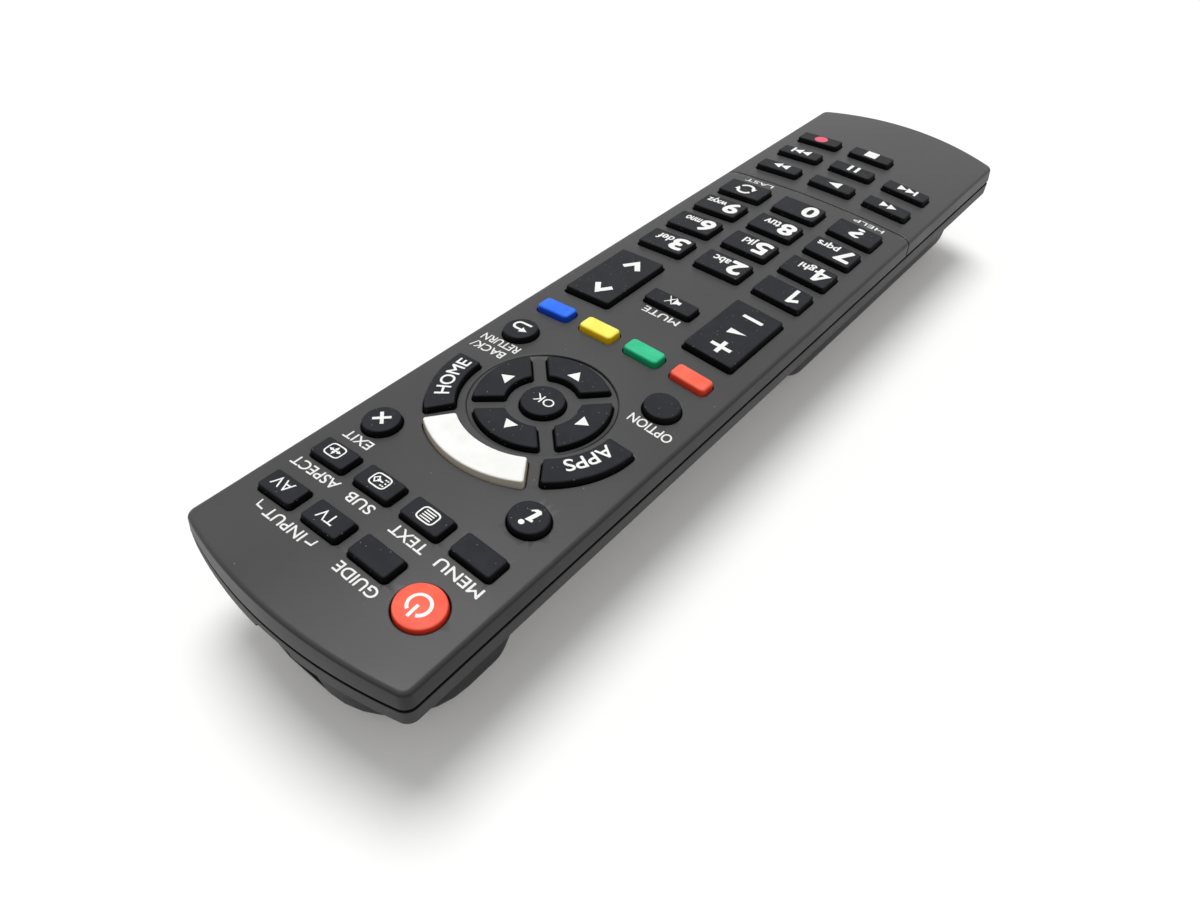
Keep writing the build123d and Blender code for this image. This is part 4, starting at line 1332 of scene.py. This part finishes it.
def makeCells():
    shape = bmesh.new()
    radius, length, height = cellForm["diameter"] / 2, cellForm["length"], cellForm["height"]
    neck = length - cellForm["nub"]
    low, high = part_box("aa_cells")
    middle = (low[1] + high[1]) / 2 / mm
    # crimped bottom, can, shoulder, raised contact
    profile = [(radius - 2.2, 0.0), (radius - 1.2, 0.0), (radius - 0.9, 0.25), (radius - 0.5, 0.25)]
    profile += [(radius - 0.12, 0.45), (radius, 0.8), (radius, neck - 0.9), (radius - 0.12, neck - 0.45)]
    profile += [(radius - 0.5, neck - 0.2), (radius - 1.4, neck - 0.2), (radius - 1.7, neck - 0.4)]
    profile += [(3.0, neck - 0.3), (2.75, neck), (2.75, length - 0.35), (2.45, length), (1.0, length)]
    # side 1 has its positive end towards the front, side -1 towards the back
    for side in (-1, 1):
        start = (side * cellForm["spacing"] / 2, middle - side * length / 2, height)
        lathed(shape, profile, start, side)
    bmesh.ops.recalc_face_normals(shape, faces=shape.faces)
    # sleeve, foil band and bare steel by place along each cell
    for face in shape.faces:
        spot = face.calc_center_median()
        side = 1 if spot.x > 0 else -1
        along = side * (spot.y - middle) + length / 2
        reach = hypot(spot.x - side * cellForm["spacing"] / 2, spot.z - height)
        if reach < radius - cellForm["bare"]:
            face.material_index = 2
        elif along > neck - cellForm["band"]:
            face.material_index = 1
    return shape


materials = [cellSleeve, copperFoil, nickelSteel]
newPiece("cells", makeCells(), materials, 30, "case", "cell_sleeve", "aa_cells", flatFaces=False)

# the springs: one round wire each, wound to a cone, with a flat turn at each end
springForm = {
    "wire": 0.8,
    "wide": 4.6,
    "narrow": 3.2,
    "turns": 3.5,
    "length": 6.7,
    "steps": 40,
    "flatShare": 0.12,
}


def addWire(shape, line, radius, outward):
    # a round wire along a line, outward keeps its rings from twisting
    rings = []
    for place, point in enumerate(line):
        ahead = (line[min(place + 1, len(line) - 1)] - line[max(place - 1, 0)]).normalized()
        across = ahead.cross(outward(point)).normalized()
        side = across.cross(ahead)
        turns = [turn * pi / 6 for turn in range(12)]
        rings.append([tuple(point + radius * (cos(turn) * side + sin(turn) * across)) for turn in turns])
    addRings(shape, rings, closed=True)


def makeSprings():
    shape = bmesh.new()
    low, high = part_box("battery_springs")
    wire, wide, narrow = springForm["wire"] / 2, springForm["wide"], springForm["narrow"]
    total, flat = int(springForm["turns"] * springForm["steps"]), springForm["flatShare"]
    for side in (-1, 1):
        # the wide end stands on the contact, the narrow end meets the cell
        foot = (low[1] if side == 1 else high[1]) / mm
        axis = Vector((side * cellForm["spacing"] / 2, 0, cellForm["height"]))
        line = []
        for step in range(total + 1):
            share = step / total
            climb = min(max((share - flat) / (1 - 2 * flat), 0), 1)
            radius = wide + (narrow - wide) * climb
            angle = 2 * pi * springForm["turns"] * share
            along = foot + side * (wire + (springForm["length"] - 2 * wire) * climb)
            line.append(axis + Vector((radius * cos(angle), along, radius * sin(angle))))
        addWire(shape, line, wire, lambda point, axis=axis: point - axis - Vector((0, point.y, 0)))
    return shape


where = ("case", "contact_steel", "battery_springs")
newPiece("coilSprings", makeSprings(), [nickelSteel], 50, *where, flatFaces=False)

# the infrared lamp: a round nose on a straight body, and two leads bent up to the board
lampForm = {
    "radius": 2.5,
    "length": 8.7,
    "lead": 0.25,
    "spacing": 2.54,
    "bend": 0.6,
    "behind": 1.75,  # how far behind the body the leads go up
    "boardUnderside": 18.8,
}


def makeLamp():
    shape = bmesh.new()
    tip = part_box("infrared_lamp")[1][1] / mm
    radius, length, height = lampForm["radius"], lampForm["length"], lowerForm["lampHeight"]
    profile = [(radius - 0.2, 0.0), (radius, 0.2)]
    turns = [turn * pi / 20 for turn in range(10)]
    profile += [(radius * cos(turn), length - radius + radius * sin(turn)) for turn in turns]
    lathed(shape, profile, (0, tip - length, height), 1, 36)
    bodyFaces = set(shape.faces)
    wire, bend = lampForm["lead"], lampForm["bend"]
    back = tip - length - lampForm["behind"]
    for side in (-1, 1):
        x, z = side * lampForm["spacing"] / 2, height - wire
        line = [Vector((x, tip - length + 0.3, z)), Vector((x, back + 2 * bend, z))]
        line += [Vector((x, y, up)) for y, up in arcPoints((back + bend, z + bend), bend, -pi / 2, -pi, 6)]
        line.append(Vector((x, back, lampForm["boardUnderside"])))
        addWire(shape, line, wire, lambda point: Vector((1, 0, 0)))
    for face in shape.faces:
        if face not in bodyFaces:
            face.material_index = 1
    return shape


materials = [smokedEpoxy, nickelSteel]
newPiece("infraredLamp", makeLamp(), materials, 40, "case", "lamp_resin", "infrared_lamp", flatFaces=False)
print("cells, springs and lamp made")

kept = {
    "key_mat": matSilicone,
    "circuit_board": solderMask,
    "controller_chip": mouldedEpoxy,
    "resonator": nickelSteel,
    "capacitor": mouldedEpoxy,
    "front_contacts": nickelSteel,
    "link_contact": nickelSteel,
}
for name, material in kept.items():
    slots = frame["nodes"][name].data.materials
    slots.clear()
    slots.append(material)

studio = {
    "floorColour": "#fdfdfc",
    "floorRoughness": 0.7,
    "floorHalf": 6.0,  # metres
    "glow": 0.15,  # how much of the white that the camera sees is the backdrop's own
    "glowColour": (1.0, 0.985, 0.95, 1.0),
    "sky": (0.16, 0.5),  # strength at the horizon and overhead
    "skyTop": 0.8,  # where overhead begins
    "softSun": ((0.22, -0.2, 0.95), 32, 2.15),  # from where, angle across, strength
}


def whiteShare(tree, amount):
    # seen straight, in gloss or through clear parts, the sweep and the sky are white by this much
    rays = addNode(tree, "LightPath").outputs
    straight = {0: rays["Is Camera Ray"], 1: rays["Is Glossy Ray"]}
    seen = addNode(tree, "Math", {"operation": "MAXIMUM"}, straight)
    seen = addNode(tree, "Math", {"operation": "MAXIMUM"}, {0: seen, 1: rays["Is Transmission Ray"]})
    return addNode(tree, "Math", {"operation": "MULTIPLY", 1: amount}, {0: seen})


matte = {"Roughness": studio["floorRoughness"], "Base Color": linear(studio["floorColour"])}
floorMaterial, tree, shader, place = newMaterial("whiteSweep", matte)
surface = shader.outputs["BSDF"].links[0].to_node
glow = addNode(tree, "Emission", {"Color": studio["glowColour"], "Strength": 1.0})
blend = addNode(tree, "MixShader", {}, {"Fac": whiteShare(tree, studio["glow"]), 1: shader, 2: glow})
link(tree, surface, {"Surface": blend})
shape = bmesh.new()
bmesh.ops.create_grid(shape, x_segments=1, y_segments=1, size=studio["floorHalf"])
floor = inScene("studioFloor", meshFrom(shape, "studioFloor", [floorMaterial]))

world = bpy.data.worlds.new("softBox")
world.use_nodes = True
bpy.context.scene.world = world
tree = world.node_tree
tree.nodes.clear()
split = addNode(tree, "SeparateXYZ", {}, {"Vector": addNode(tree, "TexCoord").outputs["Generated"]})
low, high = studio["sky"]
rising = {"From Min": 0.0, "From Max": studio["skyTop"], "To Min": low, "To Max": high}
strength = addNode(tree, "MapRange", rising, {"Value": split.outputs["Z"]})
dim = addNode(tree, "Background", {"Color": (1, 1, 1, 1)}, {"Strength": strength})
white = addNode(tree, "Background", {"Color": (1, 1, 1, 1), "Strength": 1.0})
chosen = addNode(tree, "MixShader", {}, {"Fac": whiteShare(tree, 1.0), 1: dim, 2: white})
addNode(tree, "OutputWorld", {}, {"Surface": chosen})

place, angle, strength = studio["softSun"]
sunData = bpy.data.lights.new("softSun", "SUN")
sunData.angle = radians(angle)
sunData.energy = strength
inScene("softSun", sunData).rotation_euler = Vector(place).to_track_quat("Z", "Y").to_euler()

bpy.context.scene.view_settings.view_transform = "Standard"
print("stage and lights set")
